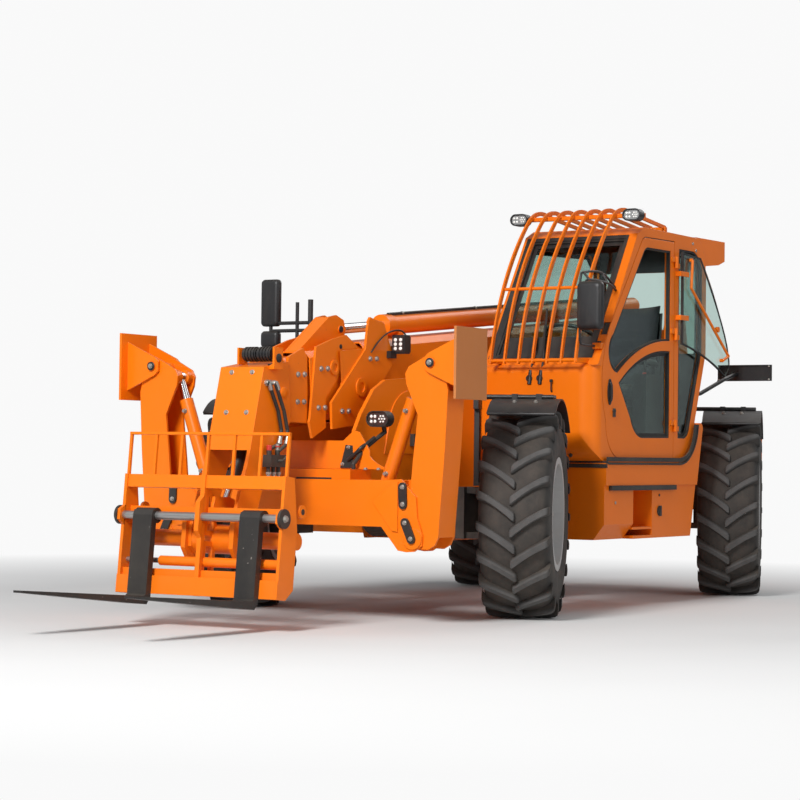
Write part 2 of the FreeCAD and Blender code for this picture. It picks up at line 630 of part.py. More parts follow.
def boom_four():
    """Innermost section with the goose-neck head that carries the fork carriage."""
    tube = in_boom(boom_tube("four"))
    plates = []
    for side in (-1, 1):
        x0, x1 = sorted((side * (HEAD_HALF - 22), side * HEAD_HALF))
        plates.append(plate_yz(head_outline(), x0, x1))
    front = plate_yz([(-1568, 1492), (-1696, 1010), (-1676, 1010), (-1548, 1492)], -HEAD_HALF, HEAD_HALF)
    top = plate_yz([boom_point(HEAD_REAR, 120), (-1568, 1492), (-1564, 1472), boom_point(HEAD_REAR, 100)],
                   -HEAD_HALF, HEAD_HALF)
    flange = in_boom(box(-HEAD_HALF, HEAD_HALF, -HEAD_REAR - 30, -HEAD_REAR, -220, 110))
    plates.append(flange.cut(in_boom(box(-80, 80, -HEAD_REAR - 40, -HEAD_REAR + 10, -180, 90))))
    bosses = []
    for side in (-1, 1):
        x0, x1 = sorted((side * (TILT_BARREL + EYE_PROUD + SEAT_GAP), side * (HEAD_HALF - 5)))
        bosses.append(rod_x(36, x0, x1, *TILT_BASE))
    bosses.append(rod_x(22, -60, 60, *TILT_BASE))
    ring = rod_x(TILT_PIN + 36, -HEAD_HALF, HEAD_HALF, TILT_PIVOT_Y, TILT_PIVOT_Z)
    shape = fused([tube] + plates + [front, top, ring] + bosses)
    return shape.cut(rod_x(TILT_PIN + RUN_FIT, -HEAD_HALF - 5, HEAD_HALF + 5, TILT_PIVOT_Y, TILT_PIVOT_Z))


def in_carriage(shape):
    placed = turned(shape, ORIGIN, X_AXIS, -TILT_REST)
    placed.translate(V(0, TILT_PIVOT_Y, TILT_PIVOT_Z))
    return placed


def carriage():
    """Fork carriage with its load backrest, drawn upright about the tilt pivot."""
    half, front, top, low = CARRIAGE_HALF, CARRIAGE_FRONT, CARRIAGE_TOP, CARRIAGE_LOW
    back = front + 110
    parts = []
    for side in (-1, 1):
        x0, x1 = sorted((side * (half - 20), side * half))
        parts.append(plate_yz([(front, low), (front, top), (back - 20, top), (back + 40, 60), (back + 40, low + 60),
                               (back - 30, low)], x0, x1))
        x0, x1 = sorted((side * (HEAD_HALF + SEAT_GAP), side * (HEAD_HALF + 30)))
        parts.append(plate_yz([(front + 20, top - 70), (front + 20, low), (-60, low), (70, -70), (70, 60),
                               (0, 90), (-40, top - 70)], x0, x1))
    parts.append(box(-half, half, front + 10, front + 60, top - 75, top))
    parts.append(box(-half, half, front - 6 + SEAT_GAP, front + 25, low, low + 105))
    parts.append(box(-16, 16, front + 5, front + 85, low, top))
    parts.append(rod_x(TILT_PIN, -half + 20, half - 20, 0, 0))
    parts.append(box(-half, half, front + 52, front + 92, 130, 170))
    for side in (-1, 1):
        x0, x1 = sorted((side * (half - 20), side * half))
        parts.append(plate_yz([(front + 5, SHAFT_Z + 60), (front - 42, SHAFT_Z + 30), (front - 42, SHAFT_Z - 30),
                               (front + 5, SHAFT_Z - 60)], x0, x1))
        x0, x1 = sorted((side * (half - 1), side * (half + 16)))
        parts.append(rod_x(55, x0, x1, front, SHAFT_Z))
    parts += backrest(front + 20, top)
    shape = fused(parts).cut(rod_x(SHAFT_RADIUS, -half + 20, half - 20, front, SHAFT_Z))
    shape = shape.cut(rod_x(SHIFT_BARREL + SEAT_GAP, -half + 20, half - 20, front + SHIFT_BACK, SHIFT_Z))
    shape = in_carriage(shape)
    return fused([shape] + tilt_lugs())


def tilt_lugs():
    """Two plates behind the carriage's top beam, with the tilt cylinder's eye between them."""
    y, z = TILT_EYE
    lugs = []
    for side in (-1, 1):
        x0, x1 = sorted((side * (TILT_ROD + EYE_PROUD + SEAT_GAP), side * (TILT_ROD + 24)))
        lugs.append(plate_yz([(y + 40, z - 25), (y + 40, z + 25), (y - 10, z + 40), (-1880, z + 45),
                              (-1900, z - 20), (y - 10, z - 45)], x0, x1))
    return lugs


def backrest(y, z):
    height = 245.0
    parts = [box(-CARRIAGE_HALF + 2, CARRIAGE_HALF - 2, y - 6, y + 14, z + height - 16, z + height)]
    for k in range(7):
        x = (CARRIAGE_HALF - 10) * (k - 3) / 3.0
        parts.append(box(x - 8, x + 8, y - 4, y + 12, z - 10, z + height - 4))
    return parts


def fork(x):
    """One fork: an eye on the shaft, an upright shank and a tapered blade."""
    w = FORK_WIDTH / 2
    y_back = CARRIAGE_FRONT - 6
    y_front = y_back - FORK_THICK
    low = CARRIAGE_LOW - 62
    side_view = [(y_back, low + 40), (y_back, SHAFT_Z + 20), (y_front + 8, SHAFT_Z + 30), (y_front, SHAFT_Z),
                 (y_front, low + FORK_THICK + 12), (y_front - 14, low + FORK_THICK), (FORK_TIP, low + 12),
                 (FORK_TIP, low), (y_back - 30, low)]
    blade = plate_yz(side_view, -w, w)
    taper = plate_xy([(-w, y_back + 1), (w, y_back + 1), (w, FORK_TIP + 420), (w * 0.45, FORK_TIP),
                      (-w * 0.45, FORK_TIP), (-w, FORK_TIP + 420)], low - 1, SHAFT_Z + 100)
    blade = blade.common(taper)
    eye = rod_x(SHAFT_RADIUS + 20, -w, w, y_back + 6, SHAFT_Z)
    shape = fused([blade, eye]).cut(rod_x(SHAFT_RADIUS + RUN_FIT, -w - 1, w + 1, y_back + 6, SHAFT_Z))
    shape.translate(V(x, 0, 0))
    return in_carriage(shape)


def fork_shaft():
    y = CARRIAGE_FRONT
    half = CARRIAGE_HALF - 20
    parts = [rod_x(SHAFT_RADIUS, -half, half, y, SHAFT_Z)]
    return in_carriage(fused(parts))


def cylinder(base, eye, axis, radius, rod_radius, dead, pin):
    """Barrel and rod between two pins along one axis; dead is the barrel's length beyond the stroke."""
    along = (eye - base).normalize()
    length = (eye - base).Length
    barrel_end = base + along * (length - dead)
    side = axis * (radius + EYE_PROUD)
    barrel = fused([rod_between(radius, base + along * (radius * 0.6), barrel_end),
                    rod_between(radius * 0.9, base - side, base + side)])
    hollow = rod_between(rod_radius + MOVE_GAP, base + along * (radius + 30), barrel_end - along * 40)
    gland = rod_between(rod_radius + RUN_FIT, barrel_end - along * 45, barrel_end + along)
    bore = rod_between(pin + RUN_FIT, base - side * 2, base + side * 2)
    half = axis * (rod_radius + EYE_PROUD)
    rod = fused([rod_between(rod_radius, base + along * (radius + 60), eye),
                 rod_between(rod_radius * 1.35, eye - half, eye + half)])
    return barrel.cut(hollow).cut(gland).cut(bore), rod


def make_boom():
    keep("boom_outer", boom_outer())
    keep("boom_section_two", boom_two())
    keep("boom_section_three", boom_three())
    keep("boom_section_four", boom_four())
    keep("carriage", carriage())
    keep("fork_shaft", Part.makeCompound([fork_shaft(), side_shift()]))
    keep("fork_left", fork(FORK_X))
    keep("fork_right", fork(-FORK_X))
    barrel, rod = cylinder(V(0, *LIFT_BASE), V(0, *LIFT_EYE), X_AXIS, LIFT_BARREL, LIFT_ROD, 230.0, 40.0)
    keep("lift_barrel", barrel)
    keep("lift_rod", rod)
    barrel, rod = cylinder(V(0, *TILT_BASE), V(0, *TILT_EYE), X_AXIS, TILT_BARREL, TILT_ROD, 120.0, 22.0)
    keep("tilt_barrel", barrel)
    keep("tilt_rod", rod)
    barrel, rod = extension_cylinder()
    keep("extension_barrel", barrel)
    keep("extension_rod", rod)


def extension_cylinder():
    """Long cylinder on top of the boom: barrel on the outer section, rod to the ears of section two."""
    z = EXT_HIGH
    front, rear = -EXT_FRONT, -EXT_FRONT + STROKE + 110
    top = BOOM_SECTIONS["outer"][1] - BOOM_DROP
    barrel = Part.makeCylinder(EXT_RADIUS, rear - front, V(0, front, z), Y_AXIS)
    gland = Part.makeCylinder(EXT_RADIUS + 9, 90, V(0, front, z), Y_AXIS)
    saddles = [box(-60, 60, y, y + 60, top, z - EXT_RADIUS + 15) for y in (front + 120, -1500, rear - 90)]
    barrel = fused([barrel, gland] + saddles)
    barrel = barrel.cut(Part.makeCylinder(EXT_ROD + MOVE_GAP, rear - front - 60, V(0, front + 40, z), Y_AXIS))
    barrel = barrel.cut(Part.makeCylinder(EXT_ROD + RUN_FIT, 60, V(0, front - 1, z), Y_AXIS))
    tail = -EXT_FRONT + STROKE + 60
    rod = Part.makeCylinder(EXT_ROD, tail + EXT_EYE, V(0, -EXT_EYE, z), Y_AXIS)
    rod = fused([rod, rod_x(44, -30, 30, -EXT_EYE, z)]).cut(rod_x(EXT_PIN + RUN_FIT, -40, 40, -EXT_EYE, z))
    return in_boom(barrel), in_boom(rod)


def rod_ears():
    """Twin ears of section two that reach back over the outer section to the extension rod's pin."""
    ears = []
    for side in (-1, 1):
        x0, x1 = sorted((side * 34, side * 50))
        ears.append(boom_plate(ROD_EARS, x0, x1))
    ears.append(boom_plate(EAR_COVER, -35, 35))
    ears.append(rod_x(EXT_PIN, -58, 58, -EXT_EYE, EXT_HIGH))
    return ears


def ring_bosses(name, y, z, radius):
    """A raised ring on each cheek of a section's collar, round a point given at rest."""
    u, v = boom_local(y, z)
    half_w = BOOM_SECTIONS[name][0] + 11
    rings = []
    for side in (-1, 1):
        x0, x1 = sorted((side * half_w, side * (half_w + 9)))
        rings.append(ring_x(radius, radius * 0.55, x0, x1, -u, v))
    return rings


def stabiliser(side):
    """Leg, foot pad and cylinder of one stabiliser, folded up; side is 1 at the left."""
    px, pz = LEG_PIVOT
    qx, qz = PAD_PIN
    ex, ez = STAB_EYE
    y_out = LEG_PLATE_IN + LEG_PLATE
    outline = [(px - 55, pz - 30), (px - 30, pz - 56), (px + 95, pz - 60), (px + 140, pz - 35), (px + 162, pz + 10),
               (px + 200, pz + 510),
               (qx + 105, qz - 160), (qx + 55, qz + 40), (qx + 10, qz + 62), (qx - 45, qz + 40), (ex - 30, ez + 45),
               (ex - 52, ez + 5), (ex - 45, ez - 55), (qx - 95, qz - 300), (px - 13, pz + 440)]
    plates = [plate_xz(outline, LEG_Y + a, LEG_Y + b) for a, b in ((-y_out, -LEG_PLATE_IN), (LEG_PLATE_IN, y_out))]
    web = plate_xz([(px + 162, pz + 10), (px + 200, pz + 510), (qx + 105, qz - 160), (qx + 89, qz - 160),
                    (px + 184, pz + 510), (px + 146, pz + 10)], LEG_Y - y_out, LEG_Y + y_out)
    eye_in = STAB_ROD + EYE_PROUD + SEAT_GAP
    blocks = [rod_y(45, LEG_Y + eye_in, LEG_Y + LEG_PLATE_IN + 2, ex, ez),
              rod_y(45, LEG_Y - LEG_PLATE_IN - 2, LEG_Y - eye_in, ex, ez)]
    leg = fused(plates + [web] + blocks + [rod_y(28, LEG_Y - y_out - 30, LEG_Y + y_out + 30, qx, qz)])
    leg = leg.cut(rod_y(LEG_PIN + RUN_FIT, LEG_Y - y_out - 9, LEG_Y + y_out + 9, px, pz))
    pad_plate = box(qx + PAD_OFFSET, qx + PAD_OFFSET + 16, LEG_Y - 180, LEG_Y + 180, qz - 210, qz + 205)
    ears = []
    for a in (-y_out - 22, y_out + 6):
        ears.append(plate_xz([(qx - 45, qz + 30), (qx - 20, qz + 55), (qx + PAD_OFFSET, qz + 150),
                              (qx + PAD_OFFSET, qz - 150), (qx - 20, qz - 55), (qx - 45, qz - 30)],
                             LEG_Y + a, LEG_Y + a + 16))
    pad = fused([pad_plate] + ears).cut(rod_y(28 + RUN_FIT, LEG_Y - 200, LEG_Y + 200, qx, qz))
    base = V(STAB_BASE[0], LEG_Y, STAB_BASE[1])
    barrel, rod = cylinder(base, V(ex, LEG_Y, ez), Y_AXIS, STAB_BARREL, STAB_ROD, 150.0, 26.0)
    pieces = {"leg": leg, "pad": pad, "stab_barrel": barrel, "stab_rod": rod}
    return {name: shape if side > 0 else mirror_x(shape) for name, shape in pieces.items()}


def make_stabilisers():
    for side, word in ((1, "left"), (-1, "right")):
        for name, shape in stabiliser(side).items():
            keep("%s_%s" % (name, word), shape)


REAR_SLOPE = [(2262, 1219), (2440, 1700)]
CAB_SIDE = [(CAB_FRONT, CAB_SILL), (CAB_TOP_FRONT, 2480), (1440, 2530), (2230, 2530), ((2385, 2478), (2440, 2340)),
            REAR_SLOPE[1], REAR_SLOPE[0], ((2160, 1030), (1980, CAB_FLOOR)), (900, CAB_FLOOR),
            ((762, 1017), (CAB_NOSE, 1155)), (CAB_NOSE, 1540), ((CAB_NOSE + 15, 1575), (CAB_FRONT - 5, CAB_SILL))]
DOOR_SIDE = [(1480, 2462), (DOOR_HINGE_Y, 2470), (DOOR_HINGE_Y, 985), (1085, 985), ((960, 1040), (880, 1230)),
             ((822, 1440), (845, 1650)), ((880, 1760), (960, 1885)), (1395, 2430), ((1430, 2455), (1480, 2462))]
DOOR_UPPER = [(1520, 2400), (1855, 2405), (1855, 1790), ((1450, 1730), (1045, 1545)), ((915, 1640), (975, 1795)),
              (1420, 2360), ((1460, 2392), (1520, 2400))]
DOOR_LOWER = [(1060, 1480), ((1420, 1660), (1855, 1720)), (1855, 1130), (1440, 1125), ((1330, 1150), (1240, 1250))]
INNER_WINDOW = [(960, 1650), (1400, 2400), (2230, 2430), (2370, 2310), (2370, 1720), (2300, 1500), (960, 1500)]
QUARTER = [(1990, 2430), (2200, 2432), ((2310, 2400), (2375, 2310)), (2375, 1710), (2195, 1225), ((2150, 1150),
           (2070, 1130)), (1990, 1130)]


def slab(steps, amount, x0, x1):
    """Outline in Y and Z, grown by one distance all round (shrunk, if negative), from x0 to x1."""
    wire = outline_wire(steps, x0)
    if amount:
        wire = wire.makeOffset2D(amount, 2)
    return Part.Face(wire).extrude(V(x1 - x0, 0, 0))


def nose_corner():
    """What the rounded outer corner of the nose takes off, below the windscreen."""
    r = NOSE_ROUND
    block = box(CAB_OUT - r, CAB_OUT + 1, CAB_NOSE - 1, CAB_NOSE + r, CAB_FLOOR - 1, CAB_SILL - 8)
    return block.cut(rod_z(r, CAB_FLOOR - 2, CAB_SILL, CAB_OUT - r, CAB_NOSE + r))


def cab():
    """Hollow cab with its windows and door way cut through the walls."""
    wall = CAB_WALL
    shell = slab(CAB_SIDE, 0, CAB_IN, CAB_OUT).cut(slab(CAB_SIDE, -wall, CAB_IN + wall, CAB_OUT - wall))
    backing = box(CAB_OUT - NOSE_ROUND - 10, CAB_OUT - 10, CAB_NOSE + 10, CAB_NOSE + NOSE_ROUND, CAB_FLOOR + 60,
                  CAB_SILL - 10)
    shell = shell.fuse(backing.common(slab(CAB_SIDE, -8, CAB_IN, CAB_OUT))).cut(nose_corner())
    openings = [slab(DOOR_SIDE, MOVE_GAP, CAB_OUT - wall - 5, CAB_OUT + 5),
                slab(QUARTER, 0, CAB_OUT - wall - 5, CAB_OUT + 5),
                slab(INNER_WINDOW, 0,
                     CAB_IN - 5, CAB_IN + wall + 5)]
    for shape in openings:
        shell = shell.cut(shape)
    glass = [slab(QUARTER, 0, CAB_OUT - 26, CAB_OUT - 20),
             slab(INNER_WINDOW, 0, CAB_IN + 20, CAB_IN + 26)]
    x0, x1 = CAB_IN + 70, CAB_OUT - 70
    screens = [((CAB_FRONT, CAB_SILL), (CAB_TOP_FRONT, 2480), 70.0, 40.0),
               ((1440, 2530), (2230, 2530), 60.0, 190.0),
               ((2440, 2340), (2440, 1700), 30.0, 30.0)]
    for (y0, z0), (y1, z1), near, far in screens:
        run = V(0, y1 - y0, z1 - z0)
        length = run.Length
        run.normalize()
        inward = V(0, -run.z, run.y) * -1
        a = V(0, y0, z0) + run * near
        b = V(0, y0, z0) + run * (length - far)
        for depth, thick, target in ((-8.0, wall + 20.0, "cut"), (18.0, 6.0, "glass")):
            p0, p1 = a + inward * depth, b + inward * depth
            outline = [p0, p1, p1 + inward * thick, p0 + inward * thick]
            pane = face_of([V(x0, p.y, p.z) for p in outline]).extrude(V(x1 - x0, 0, 0))
            if target == "cut":
                shell = shell.cut(pane)
            else:
                glass.append(pane)
    visor = plate_yz([(2180, 2528), (2300, 2538), (2797, 2545), (2797, 2405), (2690, 2372), (2480, 2350),
                      (2438, 2345),
                      (2400, 2440), (2330, 2500)], CAB_IN + 20, CAB_OUT - 10)
    return fused([shell, visor] + cab_hinges()), Part.makeCompound(glass)


def door():
    wall = CAB_WALL
    leaf = slab(DOOR_SIDE, 0, CAB_OUT - wall, CAB_OUT)
    leaf = leaf.cut(slab(DOOR_UPPER, 0, CAB_OUT - wall - 5, CAB_OUT + 5))
    leaf = leaf.cut(slab(DOOR_LOWER, 0, CAB_OUT - wall - 5, CAB_OUT + 5))
    glass = slab(DOOR_LOWER, 0, CAB_OUT - 26, CAB_OUT - 20)
    for z in HINGE_HEIGHTS:
        leaf = leaf.fuse(rod_z(HINGE_R, z + SEAT_GAP, z + 40, HINGE_X, HINGE_Y))
        leaf = leaf.fuse(box(CAB_OUT - 5, HINGE_X, HINGE_Y - 60, HINGE_Y - HINGE_R + 4, z + 3, z + 37))
        leaf = leaf.cut(rod_z(HINGE_PIN + RUN_FIT, z - 5, z + 45, HINGE_X, HINGE_Y))
    return leaf.removeSplitter(), glass


def cab_hinges():
    """The cab's half of each door hinge, with its pin."""
    halves = []
    for z in HINGE_HEIGHTS:
        halves.append(rod_z(HINGE_R, z - 40, z, HINGE_X, HINGE_Y))
        halves.append(rod_z(HINGE_PIN, z - 10, z + 40, HINGE_X, HINGE_Y))
        halves.append(box(CAB_OUT - 5, HINGE_X, HINGE_Y + HINGE_R - 4, HINGE_Y + 60, z - 37, z - 3))
    return halves


def guard_bar(x0, x1):
    """One bar of the screen guard: bowed in front of the glass, then arched over the roof's edge."""
    w = GUARD_DEPTH
    outer = [(606, 1592), ((782, 2120), (1105, 2560)), ((1225, 2636), (1400, 2640)), (1960, 2590), (1960, 2590 - w),
             (1400, 2640 - w), ((1240, 2636 - w), (1128, 2560 - w * 0.6)), ((812, 2105), (606 + w, 1592))]
    return slab(outer, 0, x0, x1)


def cab_guard():
    bars = []
    for k in range(7):
        x = GUARD_FIRST + k * GUARD_PITCH
        bars.append(guard_bar(x - 6, x + 6))
    x0, x1 = GUARD_FIRST - 14, GUARD_FIRST + 6 * GUARD_PITCH + 14
    rods = [rod_x(11, x0, x1, y, z) for y, z in ((624, 1612), (800, 2090))]
    rods.append(box(x0 - 80, x1 + 180, 1195, 1235, 2574, 2600))
    rods.append(box(x0, x1, 1930, 1960, 2530, 2580))
    feet = [box(x, x + 20, 615, 790, 1598, 1626) for x in (x0, x1 - 20)]
    return fused(bars + rods + feet).cut(slab(CAB_SIDE, 0, CAB_IN, CAB_OUT))


def side_box():
    """Body below the cab with its step recess, rising behind the cab; the cab sits on a rubber strip."""
    x0, x1 = TANK_IN, SIDE_FACE
    shape = slab(BODY_SIDE, 0, x0, x1)
    shape = shape.cut(box(x1 - 12, x1 + 1, 700, BODY_BACK + 500, 400, LOWER_STRIP))
    shape = shape.cut(slab(CAB_SIDE, STRIP, x0 - 1, x1 + 1))
    foot = plate_xz([(x1 - 90, 459), (x1 + 1, 459), (x1 + 1, 560), (x1 - 12, 560)], 830, 1270)
    shape = shape.cut(foot)
    shape = shape.cut(box(930, x1 + 5, 1270, 1560, 480, 796))
    step = box(940, x1 - 15, 1265, 1565, 520, 536)
    return fused([shape, step])


def body_strips():
    """Black rubber strip between cab and body, and the one along the body's side."""
    seal = slab(CAB_SIDE, STRIP, TANK_IN, SIDE_FACE + 8).cut(slab(CAB_SIDE, 0, TANK_IN - 1, SIDE_FACE + 9))
    seal = seal.common(slab(STRIP_REACH, 0, TANK_IN - 1, SIDE_FACE + 9))
    rail = box(SIDE_FACE - 12, SIDE_FACE + 12, 905, 1905, LOWER_STRIP - 32, LOWER_STRIP)
    return Part.makeCompound([seal, rail])


def engine_side():
    """Engine hood on the right: an open-topped box with an air grille, its lid and the engine."""
    x0, x1 = -1165, -HOOD_IN
    hood = box(x0, x1, BODY_FRONT, BODY_REAR, 460, 1450)
    hood = hood.cut(box(x0 + 25, x1 - 25, BODY_FRONT + 25, BODY_REAR - 25, 485, 1460))
    for k in range(9):
        z = 760 + k * 60
        hood = hood.cut(box(x0 - 5, x0 + 30, 1300, BODY_REAR - 200, z, z + 34))
    lid = box(x0 - 4, x1, BODY_FRONT - 4, BODY_REAR + 4, 1450 + SEAT_GAP, 1478)
    for y in LID_HINGES:
        hood = hood.fuse(rod_y(HINGE_R, y - 60, y, LID_X, LID_Z))
        hood = hood.fuse(rod_y(HINGE_PIN, y - 10, y + 60, LID_X, LID_Z))
        hood = hood.fuse(box(x1 - 5, LID_X, y - 58, y - 2, LID_Z - 60, LID_Z - HINGE_R + 4))
        lid = lid.fuse(rod_y(HINGE_R, y + SEAT_GAP, y + 60, LID_X, LID_Z))
        lid = lid.fuse(box(x1 - 30, LID_X, y + 2, y + 58, LID_Z + 3, LID_Z + HINGE_R))
        lid = lid.cut(rod_y(HINGE_PIN + RUN_FIT, y - 5, y + 65, LID_X, LID_Z))
    engine = box(-1040, -560, 1100, BODY_REAR - 250, 485, 1250)
    return hood, lid, engine


def seat():
    x, y, z = 720, 1880, CAB_FLOOR + CAB_WALL
    base = box(x - 180, x + 180, y - 250, y + 60, z, z + 380)
    cushion = box(x - 240, x + 240, y - 290, y + 220, z + 380, z + 500)
    back = plate_yz([(y + 120, z + 500), (y + 220, z + 500), (y + 300, z + 1080), (y + 220, z + 1080)],
                    x - 230, x + 230)
    return fused([base, cushion, back])


def dashboard():
    z = CAB_FLOOR + CAB_WALL
    column = plate_yz([(940, z), (1120, z), (1090, z + 560), (960, z + 620), (940, z + 560)], 560, 880)
    post = rod_between(28.0, V(720, 1060, z + 500), V(720, 1210, z + 775))
    wheel = Part.makeTorus(180, 14, V(720, 1210, z + 775), V(0, 140, 260))
    spoke = rod_between(12.0, V(540, 1210, z + 775), V(900, 1210, z + 775))
    return fused([column, post, wheel, spoke])


def counterweight():
    shoulder = REAR_PLATE + 100
    outline = [(-900, REAR_PLATE), (900, REAR_PLATE), (900, shoulder), (760, REAR_END), (-760, REAR_END),
               (-900, shoulder)]
    return plate_xy(outline, 600, 1150)


def lamp(x, y, z, w, h):
    """Oval work lamp facing forward on a short stud."""
    body = Part.makeCylinder(h / 2, 60, V(x - (w - h) / 2, y, z), Y_AXIS)
    body = body.fuse(Part.makeCylinder(h / 2, 60, V(x + (w - h) / 2, y, z), Y_AXIS))
    body = body.fuse(box(x - (w - h) / 2, x + (w - h) / 2, y, y + 60, z - h / 2, z + h / 2))
    return body.removeSplitter()


def mirrors():
    left = fused([box(1075, 1250, 560, 620, 1800, 2110), box(1080, 1100, 600, 1120, 2080, 2100),
                  box(1080, 1100, 600, 870, 1700, 1720), box(1080, 1100, 600, 618, 1700, 1810)])
    post_x = -600
    right = fused([box(-970, -830, 0, 50, 1830, 2140), box(-970, -830, 0, 50, 1690, 1800),
                   box(-880, post_x + 5, 10, 40, 1780, 1850), box(post_x, post_x + 35, 0, 40, 1100, 2000),
                   box(post_x, -FRAME_HALF - FRAME_PLATE - CHEEK_PANEL, 0, 40, 1100, 1140)])
    return left.cut(slab(CAB_SIDE, 0, CAB_IN, CAB_OUT)), right


def upper_pane():
    """The door's upper pane, swung right back beside the quarter window, with its hinges, bar and knob."""
    x0, x1 = CAB_OUT + 22, CAB_OUT + 30
    knob_at = (2560, 1905)
    pane = slab([(PANE_FRONT, 2405), (2290, 2390), ((2640, 1990), (2785, 1745)), ((2800, 1640), (2720, 1580)),
                 ((2400, 1690), (PANE_FRONT, 1775))], 0, x0, x1)
    pane = pane.cut(rod_x(12 + RUN_FIT, x0 - 1, x1 + 1, *knob_at))
    fittings = []
    for z in (1940, 2240):
        post = box(CAB_OUT, x1 + 10, PANE_FRONT - 50, PANE_FRONT - 5, z, z + 34)
        fittings.append(post.fuse(box(x1, x1 + 10, PANE_FRONT - 50, PANE_FRONT + 80, z, z + 34)))
    off = x1 + 20
    bar = pipe(10.0, [V(off, 2105, 2360), V(off, 2087, 2165), V(off, 2740, 1725), V(off, 2640, 1690)])
    feet = [rod_x(13, x1, off, 2105, 2360), rod_x(13, x1, off, 2640, 1690)]
    fittings.append(fused([bar] + feet))
    fittings.append(rod_x(12, x0 - 12, x1 + 22, *knob_at).fuse(rod_x(20, x1, x1 + 22, *knob_at)))
    return pane, Part.makeCompound(fittings)


def rear_wall(z):
    """Y of the cab's sloping rear wall at a height."""
    (low_y, low_z), (high_y, high_z) = REAR_SLOPE
    return low_y + (z - low_z) * (high_y - low_y) / (high_z - low_z)


def rear_arm():
    """Black arm behind the cab with a flat plate, for a mirror or a marker."""
    low, high, mid = 1400, 1480, 1440
    foot = plate_yz([(rear_wall(low), low), (rear_wall(high), high), (rear_wall(high) + 14, high),
                     (rear_wall(low) + 14, low)], CAB_OUT - 75, CAB_OUT - 10)
    arm = pipe(14.0, [V(CAB_OUT - 42, rear_wall(mid) + 12, mid), V(CAB_OUT - 30, rear_wall(mid) + 90, 1450),
                      V(CAB_OUT + 10, 2760, 1560), V(CAB_OUT + 10, PLATE_Y - 4, 1612)])
    plate = box(1003, 1418, PLATE_Y - 12, PLATE_Y, 1556, 1672)
    rims = [box(1003, 1418, PLATE_Y - 20, PLATE_Y - 10, z, z + 8) for z in (1556, 1664)]
    return fused([foot, arm, plate] + rims)


def boom_lamp():
    """Square work lamp on a stalk at the rear edge of the outer section's collar."""
    x = BOOM_SECTIONS["outer"][0] + 12
    body = box(x + 6, x + 100, -232, -172, 1625, 1742)
    stalk = box(x, x + 30, -285, -215, 1596, 1640)
    return fused([body, stalk])


def front_lamps():
    """Oval lamp on each side ahead of the frame, on a bent black bar."""
    pieces = []
    for side in (-1, 1):
        body = lamp(side * 453, -800, 1207, 155, 96)
        bar = pipe(13.0, [V(side * 453, -745, 1190), V(side * 440, -700, 1130), V(side * 400, -860, 1030),
                          V(side * 385, -960, 935), V(side * 385, -960, FRONT_BEAM_HIGH + BEAM_LEDGE)])
        pieces.append(fused([body, bar]))
    return pieces


def pin_keepers():
    """Black keeper plates over the stabilisers' pins on the front beam."""
    front = LEG_Y - LEG_PLATE_IN - LEG_PLATE - EAR_PLATE
    plates = []
    for side in (-1, 1):
        for (x0, z0), (x1, z1), proud in (((822, 808), (826, 706), 0), ((845, 603), (888, 508), 8)):
            y1 = front - proud
            ends = [rod_y(26, y1 - 14, y1, side * x, z) for x, z in ((x0, z0), (x1, z1))]
            dx, dz = x1 - x0, z1 - z0
            n = math.hypot(dx, dz)
            ox, oz = -dz / n * 26, dx / n * 26
            bar = plate_xz([(side * (x0 + ox), z0 + oz), (side * (x1 + ox), z1 + oz), (side * (x1 - ox), z1 - oz),
                            (side * (x0 - ox), z0 - oz)], y1 - 14, y1)
            plates.append(fused(ends + [bar]))
    return Part.makeCompound(plates)


def hose_rollers():
    """Ribbed guide rollers between two lugs on top of the boom head."""
    y, z = -1470.0, 1570.0
    parts = [box(x, x + 12, y - 45, y + 45, z - 60, z + 38) for x in (-75, 175)]
    parts.append(rod_x(8, -75, 187, y, z))
    for first, count in ((-48, 9), (54, 9)):
        for k in range(count):
            x = first + k * 10.5
            parts.append(rod_x(44 if k % 2 else 38, x, x + 10.6, y, z))
    parts.append(box(HEAD_HALF - 10, 187, y - 45, y + 45, z - 90, z - 60))
    return fused(parts).cut(plate_yz(head_outline(), -HEAD_HALF, HEAD_HALF))


def valve_block():
    x = HEAD_HALF
    body = box(x, x + 75, -1590, -1440, 915, 985)
    caps = [rod_z(15, 984, 1012, x + 38, y) for y in (-1560, -1475)]
    ports = [rod_z(13, 885, 916, x + 38, y) for y in (-1565, -1515, -1465)]
    return fused([body] + caps + ports)


def head_hoses():
    """Two hydraulic hoses down the side of the boom head to the valve block."""
    hoses = []
    for k in range(2):
        x = HEAD_HALF + 16 + k * 30
        path = [V(HEAD_HALF, -1545 + k * 30, 1400), V(x, -1545 + k * 30, 1400), V(x, -1525 + k * 22, 1375),
                V(x, -1440 + k * 16, 1240), V(x, -1405 + k * 18, 1130), V(x + 6, -1430 + k * 30, 1050),
                V(x + 6, -1545 + k * 75, 1012), V(HEAD_HALF + 38, -1560 + k * 85, 1006)]
        hoses.append(pipe(11.0, path))
    return hoses


def side_shift():
    """Side-shift cylinder through the carriage's posts, below the big pivot tube."""
    y, z = CARRIAGE_FRONT + SHIFT_BACK, SHIFT_Z
    end = CARRIAGE_HALF - 20
    barrel = rod_x(SHIFT_BARREL, -300, end, y, z)
    return in_carriage(fused([barrel, rod_x(15, -end, -299, y, z)]))


def make_trim():
    pane, bars = upper_pane()
    for name, shape in (("upper_pane", pane), ("pane_stay", bars), ("rear_arm", rear_arm()),
                        ("boom_lamp", boom_lamp()),
                        ("pin_keepers", pin_keepers()), ("hose_rollers", hose_rollers()),
                        ("head_hydraulics", Part.makeCompound([valve_block()] + head_hoses())),
                        ("body_strips", body_strips())):
        keep(name, shape)


